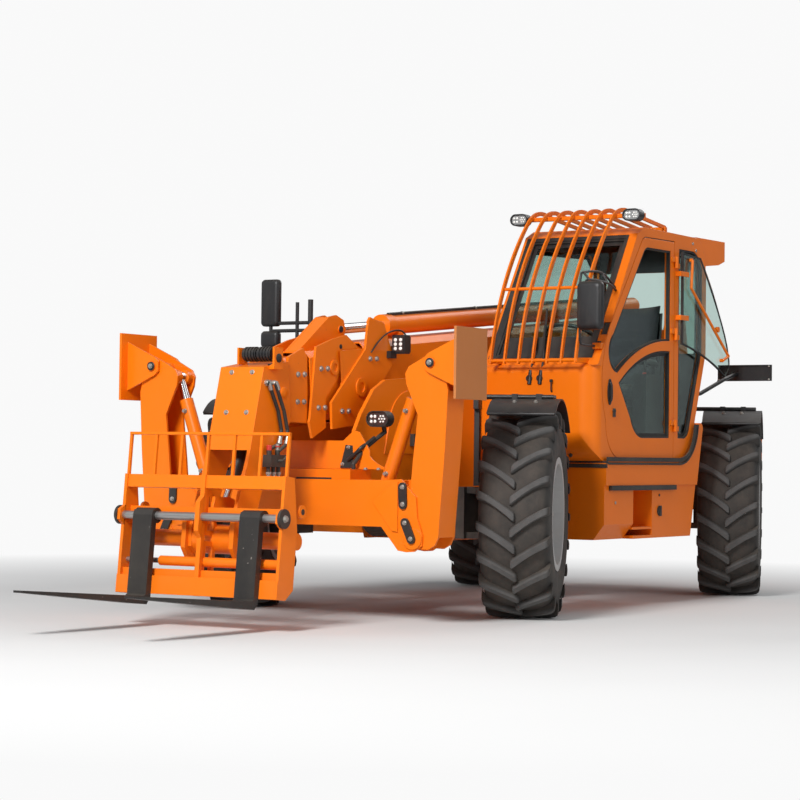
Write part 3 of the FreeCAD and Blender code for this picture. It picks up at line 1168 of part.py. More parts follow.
def make_body():
    shell, glass = cab()
    keep("cab_shell", shell)
    keep("cab_glass", glass)
    leaf, pane = door()
    keep("cab_door", leaf)
    keep("door_glass", pane)
    keep("cab_guard", cab_guard())
    keep("side_box", side_box())
    hood, lid, engine = engine_side()
    keep("engine_hood", hood)
    keep("hood_lid", lid)
    keep("engine_block", engine)
    keep("operator_seat", seat())
    keep("dashboard", dashboard())
    keep("counterweight", counterweight())
    last = GUARD_FIRST + 6 * GUARD_PITCH
    roof_lamps = [lamp(x, 1135, 2583, 130, 80) for x in (GUARD_FIRST - 76, last + 140)]
    keep("work_lamps", Part.makeCompound(roof_lamps + front_lamps()))
    left, right = mirrors()
    keep("mirror_left", left)
    keep("mirror_right", right)


def main():
    make_wheels()
    keep("chassis_frame", chassis_frame())
    make_boom()
    make_stabilisers()
    make_body()
    make_trim()
    os.makedirs("parts", exist_ok=True)
    for name, shape in NODES.items():
        shape.exportStep("parts/%s.step" % name)


main()
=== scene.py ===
"""Looks of the telehandler: paint, rubber, glass, bolts, hoses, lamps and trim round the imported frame."""

import json
import math

import bmesh
import bpy
from mathutils import Matrix, Vector


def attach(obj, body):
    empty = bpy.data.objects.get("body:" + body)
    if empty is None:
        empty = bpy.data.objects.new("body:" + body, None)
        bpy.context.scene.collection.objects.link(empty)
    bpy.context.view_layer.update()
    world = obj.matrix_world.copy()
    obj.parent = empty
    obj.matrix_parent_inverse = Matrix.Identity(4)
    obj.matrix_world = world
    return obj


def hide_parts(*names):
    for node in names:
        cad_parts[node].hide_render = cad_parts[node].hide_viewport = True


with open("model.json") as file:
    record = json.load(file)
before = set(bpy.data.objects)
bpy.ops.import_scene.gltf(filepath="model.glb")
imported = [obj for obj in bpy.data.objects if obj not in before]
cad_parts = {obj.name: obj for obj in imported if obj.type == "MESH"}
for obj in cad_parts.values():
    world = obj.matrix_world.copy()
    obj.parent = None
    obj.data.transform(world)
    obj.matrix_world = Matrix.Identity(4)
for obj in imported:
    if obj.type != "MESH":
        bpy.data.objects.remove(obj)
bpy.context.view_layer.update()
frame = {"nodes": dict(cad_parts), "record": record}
NODES = frame["nodes"]
X, Y, Z = Vector((1, 0, 0)), Vector((0, 1, 0)), Vector((0, 0, 1))

FRONT_AXLE = -0.565       # Y of the front axle in the shared frame
BOOM_PIVOT = (3750, 1900)     # Y from the front axle and Z, in millimetres
BOOM_REST = math.radians(5.5)
TILT_PIVOT = (-1780, 500)
TILT_REST = math.radians(-6.0)
SHAFT = (-190, 112)       # the forks' shaft on the level carriage
CAB_X = 720               # middle of the seat, in millimetres
SPIN = {j["child"]: j for j in frame["record"]["behaviour"]["joints"] if j["name"].startswith("spin_")}


def at(x, y, z):
    """Place in the frame from millimetres, with Y counted from the front axle."""
    return Vector((x / 1000, y / 1000 + FRONT_AXLE, z / 1000))


def leaned(x, y, z, pivot, angle):
    """Place of a point drawn level about a pivot and then leaned."""
    return at(x, pivot[0] + y * math.cos(angle) - z * math.sin(angle),
              pivot[1] + y * math.sin(angle) + z * math.cos(angle))


def on_boom(x, forward, up):
    return leaned(x, -forward, up, BOOM_PIVOT, BOOM_REST)


def on_carriage(x, y, z):
    return leaned(x, y, z, TILT_PIVOT, TILT_REST)


def new_group(name, inputs, outputs):
    """A shader group with its sockets made; returns it with its two end nodes."""
    tree = bpy.data.node_groups.new(name, "ShaderNodeTree")
    for label, kind, value in inputs:
        socket = tree.interface.new_socket(name=label, in_out="INPUT", socket_type=kind)
        if value is not None:
            socket.default_value = value
    for label, kind in outputs:
        tree.interface.new_socket(name=label, in_out="OUTPUT", socket_type=kind)
    return tree, tree.nodes.new("NodeGroupInput"), tree.nodes.new("NodeGroupOutput")


def math_node(tree, operation, a, b, clamp=False):
    node = tree.nodes.new("ShaderNodeMath")
    node.operation = operation
    node.use_clamp = clamp
    for socket, value in ((node.inputs[0], a), (node.inputs[1], b)):
        if isinstance(value, (int, float)):
            socket.default_value = value
        else:
            tree.links.new(value, socket)
    return node.outputs[0]


def times(tree, a, b, clamp=False):
    return math_node(tree, "MULTIPLY", a, b, clamp)


def plus(tree, a, b, clamp=False):
    return math_node(tree, "ADD", a, b, clamp)


def vector_node(tree, operation, *sources):
    node = tree.nodes.new("ShaderNodeVectorMath")
    node.operation = operation
    for socket, source in zip(node.inputs, sources):
        tree.links.new(source, socket)
    return node


def own_place(tree):
    """Place in the piece's own frame, in metres."""
    return tree.nodes.new("ShaderNodeTexCoord").outputs["Object"]


def upward(tree, vector):
    node = tree.nodes.new("ShaderNodeSeparateXYZ")
    tree.links.new(vector, node.inputs[0])
    return node.outputs["Z"]


def mixed(tree, factor, a, b):
    node = tree.nodes.new("ShaderNodeMix")
    node.data_type = "RGBA"
    tree.links.new(factor, node.inputs["Factor"])
    for socket, value in ((node.inputs[6], a), (node.inputs[7], b)):
        if isinstance(value, tuple):
            socket.default_value = value
        else:
            tree.links.new(value, socket)
    return node.outputs[2]


def noise(tree, vector, scale, detail=3.0, rough=0.55):
    node = tree.nodes.new("ShaderNodeTexNoise")
    node.inputs["Scale"].default_value = scale
    node.inputs["Detail"].default_value = detail
    node.inputs["Roughness"].default_value = rough
    tree.links.new(vector, node.inputs["Vector"])
    return node.outputs["Fac"]


def ramp(tree, factor, low_end, high_end):
    node = tree.nodes.new("ShaderNodeMapRange")
    node.inputs["From Min"].default_value = low_end
    node.inputs["From Max"].default_value = high_end
    tree.links.new(factor, node.inputs["Value"])
    return node.outputs["Result"]


def placed(tree, group, **values):
    """A group set in a material with its own values; an underscore stands for a space."""
    node = tree.nodes.new("ShaderNodeGroup")
    node.node_tree = group
    for label, value in values.items():
        node.inputs[label.replace("_", " ")].default_value = value
    return node


def seen_directly(tree):
    """One for what the camera sees, straight or through glass."""
    path = tree.nodes.new("ShaderNodeLightPath")
    return math_node(tree, "MAXIMUM", path.outputs["Is Camera Ray"], path.outputs["Is Transmission Ray"])


def output_mix(tree, factor, first, second, end):
    """Two shaders mixed into the tree's output node."""
    mix = tree.nodes.new("ShaderNodeMixShader")
    for socket, source in zip(mix.inputs, (factor, first, second)):
        tree.links.new(source, socket)
    tree.links.new(mix.outputs[0], tree.nodes[end].inputs[0])


def grime_group():
    """Dust that lies on what faces up and low down, with streaks and small chips."""
    tree, start, end = new_group("grime", [
        ("Paint", "NodeSocketColor", (0.8, 0.2, 0.02, 1)),
        ("Dust", "NodeSocketColor", (0.42, 0.33, 0.24, 1)),
        ("Dust Amount", "NodeSocketFloat", 0.5),
        ("Chip", "NodeSocketColor", (0.12, 0.09, 0.07, 1)),
        ("Chip Amount", "NodeSocketFloat", 0.3),
        ("Clean Roughness", "NodeSocketFloat", 0.35)],
        [("Color", "NodeSocketColor"), ("Roughness", "NodeSocketFloat"), ("Height", "NodeSocketFloat")])
    place = own_place(tree)
    facing = tree.nodes.new("ShaderNodeNewGeometry").outputs["Normal"]
    shelf = ramp(tree, upward(tree, facing), 0.2, 1.0)
    lowness = ramp(tree, upward(tree, place), 1.5, 0.3)
    clouds = ramp(tree, noise(tree, place, 3.2, 6.0, 0.62), 0.38, 0.72)
    stretch = tree.nodes.new("ShaderNodeMapping")
    stretch.inputs["Scale"].default_value = (9.0, 9.0, 1.2)
    tree.links.new(place, stretch.inputs["Vector"])
    streaks = ramp(tree, noise(tree, stretch.outputs[0], 2.0, 4.0, 0.6), 0.52, 0.78)
    settle = plus(tree, times(tree, shelf, 0.75), times(tree, lowness, 0.6))
    settle = times(tree, settle, plus(tree, times(tree, clouds, 0.8), 0.2))
    settle = plus(tree, settle, times(tree, streaks, 0.16))
    dust = times(tree, settle, start.outputs["Dust Amount"], clamp=True)
    specks = ramp(tree, noise(tree, place, 46.0, 3.0, 0.5), 0.70, 0.74)
    patches = ramp(tree, noise(tree, place, 2.1, 2.0, 0.5), 0.50, 0.62)
    chips = times(tree, times(tree, specks, patches), start.outputs["Chip Amount"], clamp=True)
    fade = noise(tree, place, 1.1, 3.0, 0.5)
    shade = tree.nodes.new("ShaderNodeHueSaturation")
    tree.links.new(start.outputs["Paint"], shade.inputs["Color"])
    tree.links.new(plus(tree, times(tree, fade, 0.22), 0.86), shade.inputs["Value"])
    color = mixed(tree, dust, shade.outputs[0], start.outputs["Dust"])
    tree.links.new(mixed(tree, chips, color, start.outputs["Chip"]), end.inputs["Color"])
    rough = plus(tree, start.outputs["Clean Roughness"], times(tree, dust, 0.5))
    rough = plus(tree, rough, times(tree, noise(tree, place, 20.0, 2.0), 0.08), clamp=True)
    tree.links.new(rough, end.inputs["Roughness"])
    height = math_node(tree, "SUBTRACT", times(tree, noise(tree, place, 130.0, 2.0), 0.3), chips)
    tree.links.new(height, end.inputs["Height"])
    return tree


def tread_group():
    """Distance out from a wheel's axis, so that lug tops wear grey and the grooves hold dust."""
    tree, start, end = new_group("tread_wear", [
        ("Centre", "NodeSocketVector", None), ("Axis", "NodeSocketVector", None)],
        [("Lug Top", "NodeSocketFloat"), ("Groove", "NodeSocketFloat"), ("Side", "NodeSocketFloat")])
    away = vector_node(tree, "SUBTRACT", own_place(tree), start.outputs["Centre"]).outputs[0]
    along = vector_node(tree, "DOT_PRODUCT", away, start.outputs["Axis"]).outputs["Value"]
    reach = vector_node(tree, "LENGTH", away).outputs["Value"]
    square = math_node(tree, "SUBTRACT", math_node(tree, "POWER", reach, 2.0),
                       math_node(tree, "POWER", math_node(tree, "ABSOLUTE", along, 0.0), 2.0))
    radius = math_node(tree, "SQRT", square, 0.0)
    tree.links.new(ramp(tree, radius, 0.612, 0.632), end.inputs["Lug Top"])
    groove = times(tree, ramp(tree, radius, 0.622, 0.604), ramp(tree, radius, 0.56, 0.59))
    tree.links.new(groove, end.inputs["Groove"])
    tree.links.new(ramp(tree, radius, 0.56, 0.50), end.inputs["Side"])
    return tree


GRIME = grime_group()
TREAD = tread_group()


def blank(name):
    material = bpy.data.materials.new(name)
    material.use_nodes = True
    tree = material.node_tree
    return material, tree, tree.nodes["Principled BSDF"]


def bump(tree, shader, height, distance, edge=0.0):
    """Fine relief; with an edge radius, sharp corners catch light as if they were rounded."""
    node = tree.nodes.new("ShaderNodeBump")
    if edge:
        corner = tree.nodes.new("ShaderNodeBevel")
        corner.samples = 4
        corner.inputs["Radius"].default_value = edge
        tree.links.new(corner.outputs[0], node.inputs["Normal"])
    node.inputs["Strength"].default_value = 0.6
    node.inputs["Distance"].default_value = distance
    tree.links.new(height, node.inputs["Height"])
    tree.links.new(node.outputs[0], shader.inputs["Normal"])


def painted(name, color, dust=0.5, chips=0.3, rough=0.32, metallic=0.0, coat=0.0, chip=(0.10, 0.075, 0.06),
            grain=0.0006, edge=0.0, shine=0.5):
    """Any finish that takes the common grime: paint, plastic, steel, rubber."""
    material, tree, shader = blank(name)
    grime = placed(tree, GRIME, Paint=(*color, 1), Dust=(0.40, 0.32, 0.235, 1), Dust_Amount=dust,
                   Chip=(*chip, 1), Chip_Amount=chips, Clean_Roughness=rough)
    tree.links.new(grime.outputs["Color"], shader.inputs["Base Color"])
    tree.links.new(grime.outputs["Roughness"], shader.inputs["Roughness"])
    for socket, value in (("Metallic", metallic), ("Specular IOR Level", shine), ("Coat Weight", coat),
                          ("Coat Roughness", 0.12)):
        shader.inputs[socket].default_value = value
    bump(tree, shader, grime.outputs["Height"], grain, edge)
    return material


def clean(name, color, dust, rough, metallic=0.0, grain=0.0006):
    """A finish that doesn't chip, such as plastic, rubber, chrome or a lamp's lens."""
    return painted(name, color, dust, 0.0, rough, metallic, grain=grain)


ORANGE = painted("orange_gloss", (0.86, 0.178, 0.002), dust=0.06, chips=0.3, rough=0.30, coat=0.08,
                 edge=0.004, shine=0.28)
ORANGE_WORN = painted("orange_worn", (0.50, 0.165, 0.035), dust=0.22, chips=1.0, rough=0.5, edge=0.004)
BLACK = painted("black_satin", (0.010, 0.010, 0.011), dust=0.16, chips=0.2, rough=0.38,
                chip=(0.2, 0.17, 0.14), edge=0.003)
BLACK_GRIT = painted("black_dusty", (0.016, 0.016, 0.017), dust=0.45, chips=0.3, rough=0.5)
FORK = painted("fork_black", (0.016, 0.015, 0.015), dust=0.12, chips=0.8, rough=0.42,
               chip=(0.32, 0.28, 0.25), metallic=0.2)
SILVER = painted("wheel_silver", (0.46, 0.46, 0.46), dust=0.4, chips=0.3, rough=0.42, metallic=0.15)
STEEL = painted("bare_steel", (0.42, 0.41, 0.40), dust=0.25, chips=0.6, rough=0.3, metallic=0.85,
                chip=(0.16, 0.08, 0.04))
ZINC = painted("zinc_bolt", (0.40, 0.39, 0.36), dust=0.35, chips=0.2, rough=0.38, metallic=0.8)
IRON = painted("engine_iron", (0.10, 0.10, 0.10), dust=0.5, chips=0.4, rough=0.6)
PLASTIC = clean("black_plastic", (0.010, 0.010, 0.011), 0.3, 0.42, grain=0.0004)
RUBBER = clean("hose_rubber", (0.009, 0.009, 0.009), 0.35, 0.5)
CHROME = clean("chrome_rod", (0.75, 0.75, 0.76), 0.06, 0.1, metallic=1.0, grain=0.0001)
CLOTH = clean("seat_cloth", (0.035, 0.035, 0.04), 0.2, 0.9, grain=0.002)
MIRROR = clean("mirror_face", (0.75, 0.78, 0.80), 0.1, 0.04, metallic=1.0, grain=0.0)
LENS = clean("lamp_lens", (0.10, 0.085, 0.085), 0.05, 0.08, metallic=0.6, grain=0.0)
REFLECTOR = clean("lamp_reflector", (0.50, 0.50, 0.49), 0.05, 0.15, metallic=0.6, grain=0.0)
TRIM = clean("cab_lining", (0.020, 0.020, 0.022), 0.1, 0.7)
LED = clean("lamp_diode", (0.9, 0.9, 0.86), 0.0, 0.2, grain=0.0)
AMBER = clean("amber_lens", (0.75, 0.20, 0.01), 0.1, 0.15)
RED = clean("tail_red", (0.45, 0.01, 0.008), 0.25, 0.15)
RED_CAP = clean("red_cap", (0.5, 0.02, 0.012), 0.2, 0.4)


def glass_material():
    """Clear pane whose green tint is partly the glass's own and partly painted shade that makes the panes
    look dark; it lets light through to what is behind it.
    """
    material, tree, shader = blank("window_glass")
    # Base colour: the glass's green tint, darkened further as painted shade so the panes look dim.
    shader.inputs["Base Color"].default_value = (0.50, 0.63, 0.59, 1)
    shader.inputs["Metallic"].default_value = 0.0
    shader.inputs["Transmission Weight"].default_value = 1.0
    shader.inputs["IOR"].default_value = 1.3
    smear = ramp(tree, noise(tree, own_place(tree), 4.0, 5.0, 0.6), 0.45, 0.75)
    tree.links.new(times(tree, smear, 0.05), shader.inputs["Roughness"])
    through = tree.nodes.new("ShaderNodeBsdfTransparent")
    through.inputs["Color"].default_value = (0.80, 0.88, 0.86, 1)
    shadow = tree.nodes.new("ShaderNodeLightPath").outputs["Is Shadow Ray"]
    output_mix(tree, shadow, shader.outputs[0], through.outputs[0], "Material Output")
    return material


GLASS = glass_material()


def tyre_material(name, centre, axis):
    """Black rubber, greyer on the lugs' tops, with dust in the grooves and on the sidewalls."""
    material, tree, shader = blank(name)
    grime = placed(tree, GRIME, Paint=(0.016, 0.016, 0.016, 1), Dust_Amount=0.14, Chip_Amount=0.0,
                   Clean_Roughness=0.62)
    zones = placed(tree, TREAD, Centre=centre, Axis=axis)
    mottle = ramp(tree, noise(tree, own_place(tree), 11.0, 5.0, 0.6), 0.3, 0.7)
    color = grime.outputs["Color"]
    for zone, spread, least, tint in (("Lug Top", 0.35, 0.45, (0.105, 0.102, 0.100, 1)),
                                      ("Groove", 0.3, 0.04, (0.12, 0.092, 0.072, 1)),
                                      ("Side", 0.3, 0.0, (0.13, 0.105, 0.085, 1))):
        amount = times(tree, mottle, spread)
        if least:
            amount = plus(tree, amount, least)
        color = mixed(tree, times(tree, zones.outputs[zone], amount), color, tint)
    tree.links.new(color, shader.inputs["Base Color"])
    shader.inputs["Roughness"].default_value = 0.82
    bump(tree, shader, mottle, 0.002)
    return material


FINISHES = (
    ("rim", SILVER), ("knuckle", BLACK), ("axle", BLACK_GRIT), ("cab_glass", GLASS), ("upper_pane", GLASS),
    ("door_glass", GLASS), ("operator_seat", CLOTH), ("dashboard", PLASTIC), ("mirror", PLASTIC),
    ("work_lamps", PLASTIC), ("boom_lamp", PLASTIC), ("fork_left", FORK), ("fork_right", FORK),
    ("fork_shaft", STEEL), ("lift_rod", CHROME), ("tilt_rod", CHROME), ("stab_rod", CHROME),
    ("extension_rod", CHROME), ("engine_block", IRON), ("tilt_barrel", BLACK),
    ("rear_arm", BLACK), ("pin_keepers", BLACK), ("hose_rollers", PLASTIC), ("head_hydraulics", RUBBER),
    ("body_strips", RUBBER),
)


def repaint(node, material, chosen):
    """Another finish on those faces of a node whose centre and normal pass a test."""
    data = NODES[node].data
    data.materials.append(material)
    spare = len(data.materials) - 1
    for face in data.polygons:
        if chosen(face.center, face.normal):
            face.material_index = spare


def between(place, y0, y1):
    """Whether a place lies between two distances behind the front axle, in millimetres."""
    return at(0, y0, 0).y < place.y < at(0, y1, 0).y


def dress_nodes():
    """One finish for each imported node, and a second one on some of its faces."""
    for name in NODES:
        chosen, length = ORANGE, 0
        for start, material in FINISHES:
            if name.startswith(start) and len(start) > length:
                chosen, length = material, len(start)
        if name.startswith("tyre"):
            joint = SPIN[name.replace("tyre", "wheel")]
            chosen = tyre_material(name + "_rubber", joint["pos_m"], joint["axis"])
        data = NODES[name].data
        data.materials.clear()
        data.materials.append(chosen)
    middle = at(CAB_X, 1500, 1750)
    repaint("cab_shell", TRIM, lambda c, n: abs(c.x - middle.x) < 0.382 and between(c, 780, 2420)
            and n.dot(middle - c) > 0.02)
    repaint("cab_door", TRIM, lambda c, n: n.x < -0.9)
    repaint("chassis_frame", RUBBER, lambda c, n: 0.331 < abs(c.x) < 0.37 and 1.04 < c.z < 1.13
            and between(c, -230, -170))
    repaint("pad_left", ORANGE_WORN, lambda c, n: c.x > 1.1895)
    repaint("hose_rollers", ORANGE, lambda c, n: c.x < -0.05 or c.x > 0.162)
    repaint("fork_shaft", ORANGE, lambda c, n: c.z < 0.47 and c.x > -0.302)


def put(name, data):
    """A new thing in the scene."""
    thing = bpy.data.objects.new(name, data)
    bpy.context.scene.collection.objects.link(thing)
    return thing


def aim_camera():
    """Camera fitted to the photograph; its focal length is 2314 pixels of the picture's 800."""
    data = bpy.data.cameras.new("camera")
    camera = put("camera", data)
    data.sensor_width = 36.0
    data.lens = 2314.0 / 800.0 * data.sensor_width
    azimuth, pitch, roll = math.radians(31.25), math.radians(1.39), math.radians(0.67)
    level = math.cos(pitch)
    forward = Vector((-math.sin(azimuth) * level, math.cos(azimuth) * level, math.sin(pitch)))
    side = Vector((math.cos(azimuth), math.sin(azimuth), 0))
    head = side.cross(forward)
    right = side * math.cos(roll) + head * math.sin(roll)
    up = head * math.cos(roll) - side * math.sin(roll)
    turn = Matrix((right, up, -forward)).transposed()
    camera.matrix_world = Matrix.Translation(at(7738, -12554, 986)) @ turn.to_4x4()
    bpy.context.scene.camera = camera


def light_stage():
    """Soft key from the machine's front left, pale floor and backdrop."""
    world = bpy.data.worlds.new("studio")
    bpy.context.scene.world = world
    world.use_nodes = True
    tree = world.node_tree
    back = tree.nodes["Background"]
    back.inputs["Color"].default_value = (0.93, 0.95, 1.0, 1)
    back.inputs["Strength"].default_value = 0.30
    white = tree.nodes.new("ShaderNodeBackground")
    white.inputs["Color"].default_value = (1, 1, 1, 1)
    white.inputs["Strength"].default_value = 0.95
    output_mix(tree, seen_directly(tree), back.outputs[0], white.outputs[0], "World Output")
    for name, place, target, size, power in (
            ("key", (2.2, -12.0, 8.0), (0, -0.5, 1.0), 3.0, 1700.0),
            ("fill", (-9.0, -6.0, 5.0), (0, 0, 1.2), 7.0, 130.0),
            ("side", (10.0, -1.0, 5.0), (0, 0, 1.2), 6.0, 190.0),
            ("rim_light", (2.0, 10.0, 8.0), (0, 0, 1.5), 6.0, 330.0)):
        data = bpy.data.lights.new(name, "AREA")
        data.energy = power
        data.size = size
        lamp = put(name, data)
        lamp.location = place
        lamp.rotation_euler = (Vector(target) - Vector(place)).to_track_quat("-Z", "Y").to_euler()
    mesh = bpy.data.meshes.new("floor")
    mesh.from_pydata([(-60, -60, 0), (60, -60, 0), (60, 60, 0), (-60, 60, 0)], [], [(0, 1, 2, 3)])
    material, tree, shader = blank("floor_pale")
    place = own_place(tree)
    shader.inputs["Roughness"].default_value = 0.9
    patches = mixed(tree, noise(tree, place, 0.6, 2.0), (0.66, 0.66, 0.65, 1), (0.72, 0.72, 0.71, 1))
    tree.links.new(patches, shader.inputs["Base Color"])
    far = vector_node(tree, "LENGTH", place).outputs["Value"]
    glow = tree.nodes.new("ShaderNodeEmission")
    glow.inputs["Strength"].default_value = 0.95
    fades = times(tree, seen_directly(tree), ramp(tree, far, 3.2, 8.0))
    output_mix(tree, fades, shader.outputs[0], glow.outputs[0], "Material Output")
    mesh.materials.append(material)
    put("floor", mesh)


def piece_of(mesh, name, body, finishes, crease=None):
    """A piece from a finished mesh, smooth but for edges sharper than the crease, riding on its body."""
    bmesh.ops.recalc_face_normals(mesh, faces=mesh.faces)
    data = bpy.data.meshes.new(name)
    mesh.to_mesh(data)
    mesh.free()
    for material in finishes:
        data.materials.append(material)
    for face in data.polygons:
        face.use_smooth = True
    if crease:
        data.set_sharp_from_angle(angle=math.radians(crease))
    piece = put(name, data)
    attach(piece, body)
    return piece


class Maker:
    """A mesh put together out of plates, rods and pipes, each in one of the piece's finishes."""

    def __init__(self):
        self.mesh = bmesh.new()
        self.finish = 0

    def skin(self, rings):
        """Closed skin over a row of rings of points."""
        made = [[self.mesh.verts.new(p) for p in ring] for ring in rings]
        faces = [list(reversed(made[0])), made[-1]]
        for near, far in zip(made, made[1:]):
            faces += [[near[i - 1], near[i], far[i], far[i - 1]] for i in range(len(near))]
        for corners in faces:
            self.mesh.faces.new(corners).material_index = self.finish

    def slab(self, outline, push):
        """Plate from an outline and the way it is pushed out, in metres."""
        self.skin([outline, [p + push for p in outline]])

    def sheet(self, x0, x1, low_end, high_end, push):
        """Slab between two X, from one place in Y and Z to another."""
        (y0, z0), (y1, z1) = low_end, high_end
        self.slab([at(x0, y0, z0), at(x1, y0, z0), at(x1, y1, z1), at(x0, y1, z1)], push)

    def block(self, x0, x1, y0, y1, z0, z1):
        """Box by its sides in millimetres."""
        self.sheet(x0, x1, (y0, z0), (y1, z0), Z * ((z1 - z0) / 1000))

    def lathe(self, start, axis, profile, sides=20):
        """Turned shape: profile holds distances along the axis and radii, in millimetres."""
        axis = axis.normalized()
        u = axis.orthogonal().normalized()
        v = axis.cross(u)
        rings = []
        for along, radius in profile:
            middle = start + axis * (along / 1000)
            rings.append([middle + (u * math.cos(a) + v * math.sin(a)) * (radius / 1000)
                          for a in (2 * math.pi * (k + 0.5) / sides for k in range(sides))])
        self.skin(rings)

    def boss(self, start, axis, radius, height, sides=24, cut=4, base=0, edge=2):
        """Turned disc with a cut edge at its end."""
        self.lathe(start, axis, [(base, radius), (height, radius), (height + edge, radius - cut)], sides)

    def rod(self, a, b, radius, sides=16):
        self.lathe(a, b - a, [(0, radius), ((b - a).length * 1000, radius)], sides)

    def pipe(self, points, radius, sides=10, steps=5):
        """Round hose or wire along a smooth line through the points."""
        line = []
        ends = [points[0]] + list(points) + [points[-1]]
        for a, b, c, d in zip(ends, ends[1:], ends[2:], ends[3:]):
            for k in range(steps):
                t = k / steps
                line.append(0.5 * (2 * b + (c - a) * t + (2 * a - 5 * b + 4 * c - d) * t * t
                                   + (3 * b - a - 3 * c + d) * t ** 3))
        line.append(points[-1])
        across = (line[1] - line[0]).orthogonal().normalized()
        rings = []
        for i, p in enumerate(line):
            run = (line[min(i + 1, len(line) - 1)] - line[max(i - 1, 0)]).normalized()
            across = (across - run * across.dot(run)).normalized()
            other = run.cross(across)
            rings.append([p + (across * math.cos(a) + other * math.sin(a)) * (radius / 1000)
                          for a in (2 * math.pi * k / sides for k in range(sides))])
        self.skin(rings)

    def hoop(self, rings):
        """Skin over rings that run round to the first again."""
        made = [[self.mesh.verts.new(p) for p in ring] for ring in rings]
        for near, far in zip(made, made[1:] + made[:1]):
            for i in range(len(near)):
                corners = (near[i - 1], near[i], far[i], far[i - 1])
                self.mesh.faces.new(corners).material_index = self.finish

    def frame(self, outline, width, push):
        """Band just inside a closed outline, its width in millimetres."""
        inner = inset(outline, width / 1000)
        self.hoop([outline, [p + push for p in outline], [p + push for p in inner], inner])

    def strip(self, path, near, far, push):
        """Band beside a path of one X, between two distances from it toward its lower or rear side."""
        rings = []
        for i, p in enumerate(path):
            run = (path[min(i + 1, len(path) - 1)] - path[max(i - 1, 0)]).normalized()
            a, b = (p + run.cross(X) * (away / 1000) for away in (near, far))
            rings.append([a, b, b + push, a + push])
        self.skin(rings)

    def bolt(self, place, out, across=24.0):
        """Hexagon head on its washer."""
        keep, self.finish = self.finish, 0
        self.lathe(place, out, [(-1, across * 0.72), (2.5, across * 0.72), (3, across * 0.66)], 14)
        flat = across * 0.577
        self.lathe(place + out.normalized() * 0.003, out,
                   [(0, flat), (across * 0.34, flat), (across * 0.42, flat * 0.82)], 6)
        self.finish = keep

    def done(self, name, body, slot, *finishes):
        """Close the mesh into a piece; its finishes are numbered from 0."""
        return piece_of(self.mesh, name, body, finishes, CREASE)


def inset(outline, width):
    """The outline moved in by a width, in its own plane."""
    count = len(outline)
    normal = Vector((0, 0, 0))
    for i in range(count):
        normal += outline[i - 1].cross(outline[i])
    normal.normalize()
    inner = []
    for i in range(count):
        before = (outline[i] - outline[i - 1]).normalized()
        after = (outline[(i + 1) % count] - outline[i]).normalized()
        side = normal.cross(before) + normal.cross(after)
        side.normalize()
        bend = max(0.4, side.dot(normal.cross(after)))
        inner.append(outline[i] + side * (width / bend))
    return inner


def curve(steps, x, arc=7):
    """Outline at one X from Y and Z in millimetres; a pair of points is an arc, its middle and its end."""
    points = []
    for step in steps:
        if not isinstance(step[0], tuple):
            points.append(Vector((step[0], step[1])))
            continue
        start, middle, end = points[-1], Vector(step[0]), Vector(step[1])
        for k in range(1, arc + 1):
            t = k / arc
            points.append(start * (1 - t) * (1 - 2 * t) + middle * 4 * t * (1 - t) + end * t * (2 * t - 1))
    if (points[0] - points[-1]).length < 1:
        points.pop()
    return [at(x, p.x, p.y) for p in points]


# outlines of the cab's side: Y from the front axle and Z, where a pair of points is an arc
DOOR_UPPER = [(1520, 2400), (1855, 2405), (1855, 1790), ((1450, 1730), (1045, 1545)),
              ((915, 1640), (975, 1795)), (1420, 2360), ((1460, 2392), (1520, 2400))]
DOOR_LOWER = [(1060, 1480), ((1420, 1660), (1855, 1720)), (1855, 1130), (1440, 1125),
              ((1330, 1150), (1240, 1250))]
INNER_WINDOW = [(960, 1650), (1400, 2400), (2230, 2430), (2370, 2310), (2370, 1720), (2300, 1500),
                (960, 1500)]
QUARTER = [(1990, 2430), (2200, 2432), ((2310, 2400), (2375, 2310)), (2375, 1710), (2195, 1225),
           ((2150, 1150), (2070, 1130)), (1990, 1130)]
DOOR_SIDE = [(1480, 2462), (1915, 2470), (1915, 985), (1085, 985), ((960, 1040), (880, 1230)),
             ((822, 1440), (845, 1650)), ((880, 1760), (960, 1885)), (1395, 2430),
             ((1430, 2455), (1480, 2462))]
OPEN_PANE = [(1992, 2405), (2290, 2390), ((2640, 1990), (2785, 1745)), ((2800, 1640), (2720, 1580)),
             ((2400, 1690), (1992, 1775))]
SIDE_PANE = 1120.2        # X of the outer faces of the side's panes
SIDE_SEAL = 1117          # X where their seals start
PLATE_Y = 2995            # the black plate on the rear arm
SCREEN_RUN = Vector((0, 0.5393, 0.8421))      # up along the windscreen
SCREEN_OUT = Vector((0, -0.8421, 0.5393))     # square to it, away from the cab
NUTS, NUT_CIRCLE = 10, 0.150
HUB_BOLTS, HUB_CIRCLE = 12, 0.102
CREASE = 32               # degrees; sharper edges than this stay crisp


def screen(x, along, out):
    """Place on the windscreen: distance up from its foot and distance out from the cab's outline."""
    return at(x, 760, 1590) + SCREEN_RUN * (along / 1000) + SCREEN_OUT * (out / 1000)


def on_screen(x0, x1, foot, top, out):
    """Rectangle on the windscreen, between two distances up it."""
    return [screen(x0, foot, out), screen(x1, foot, out), screen(x1, top, out), screen(x0, top, out)]


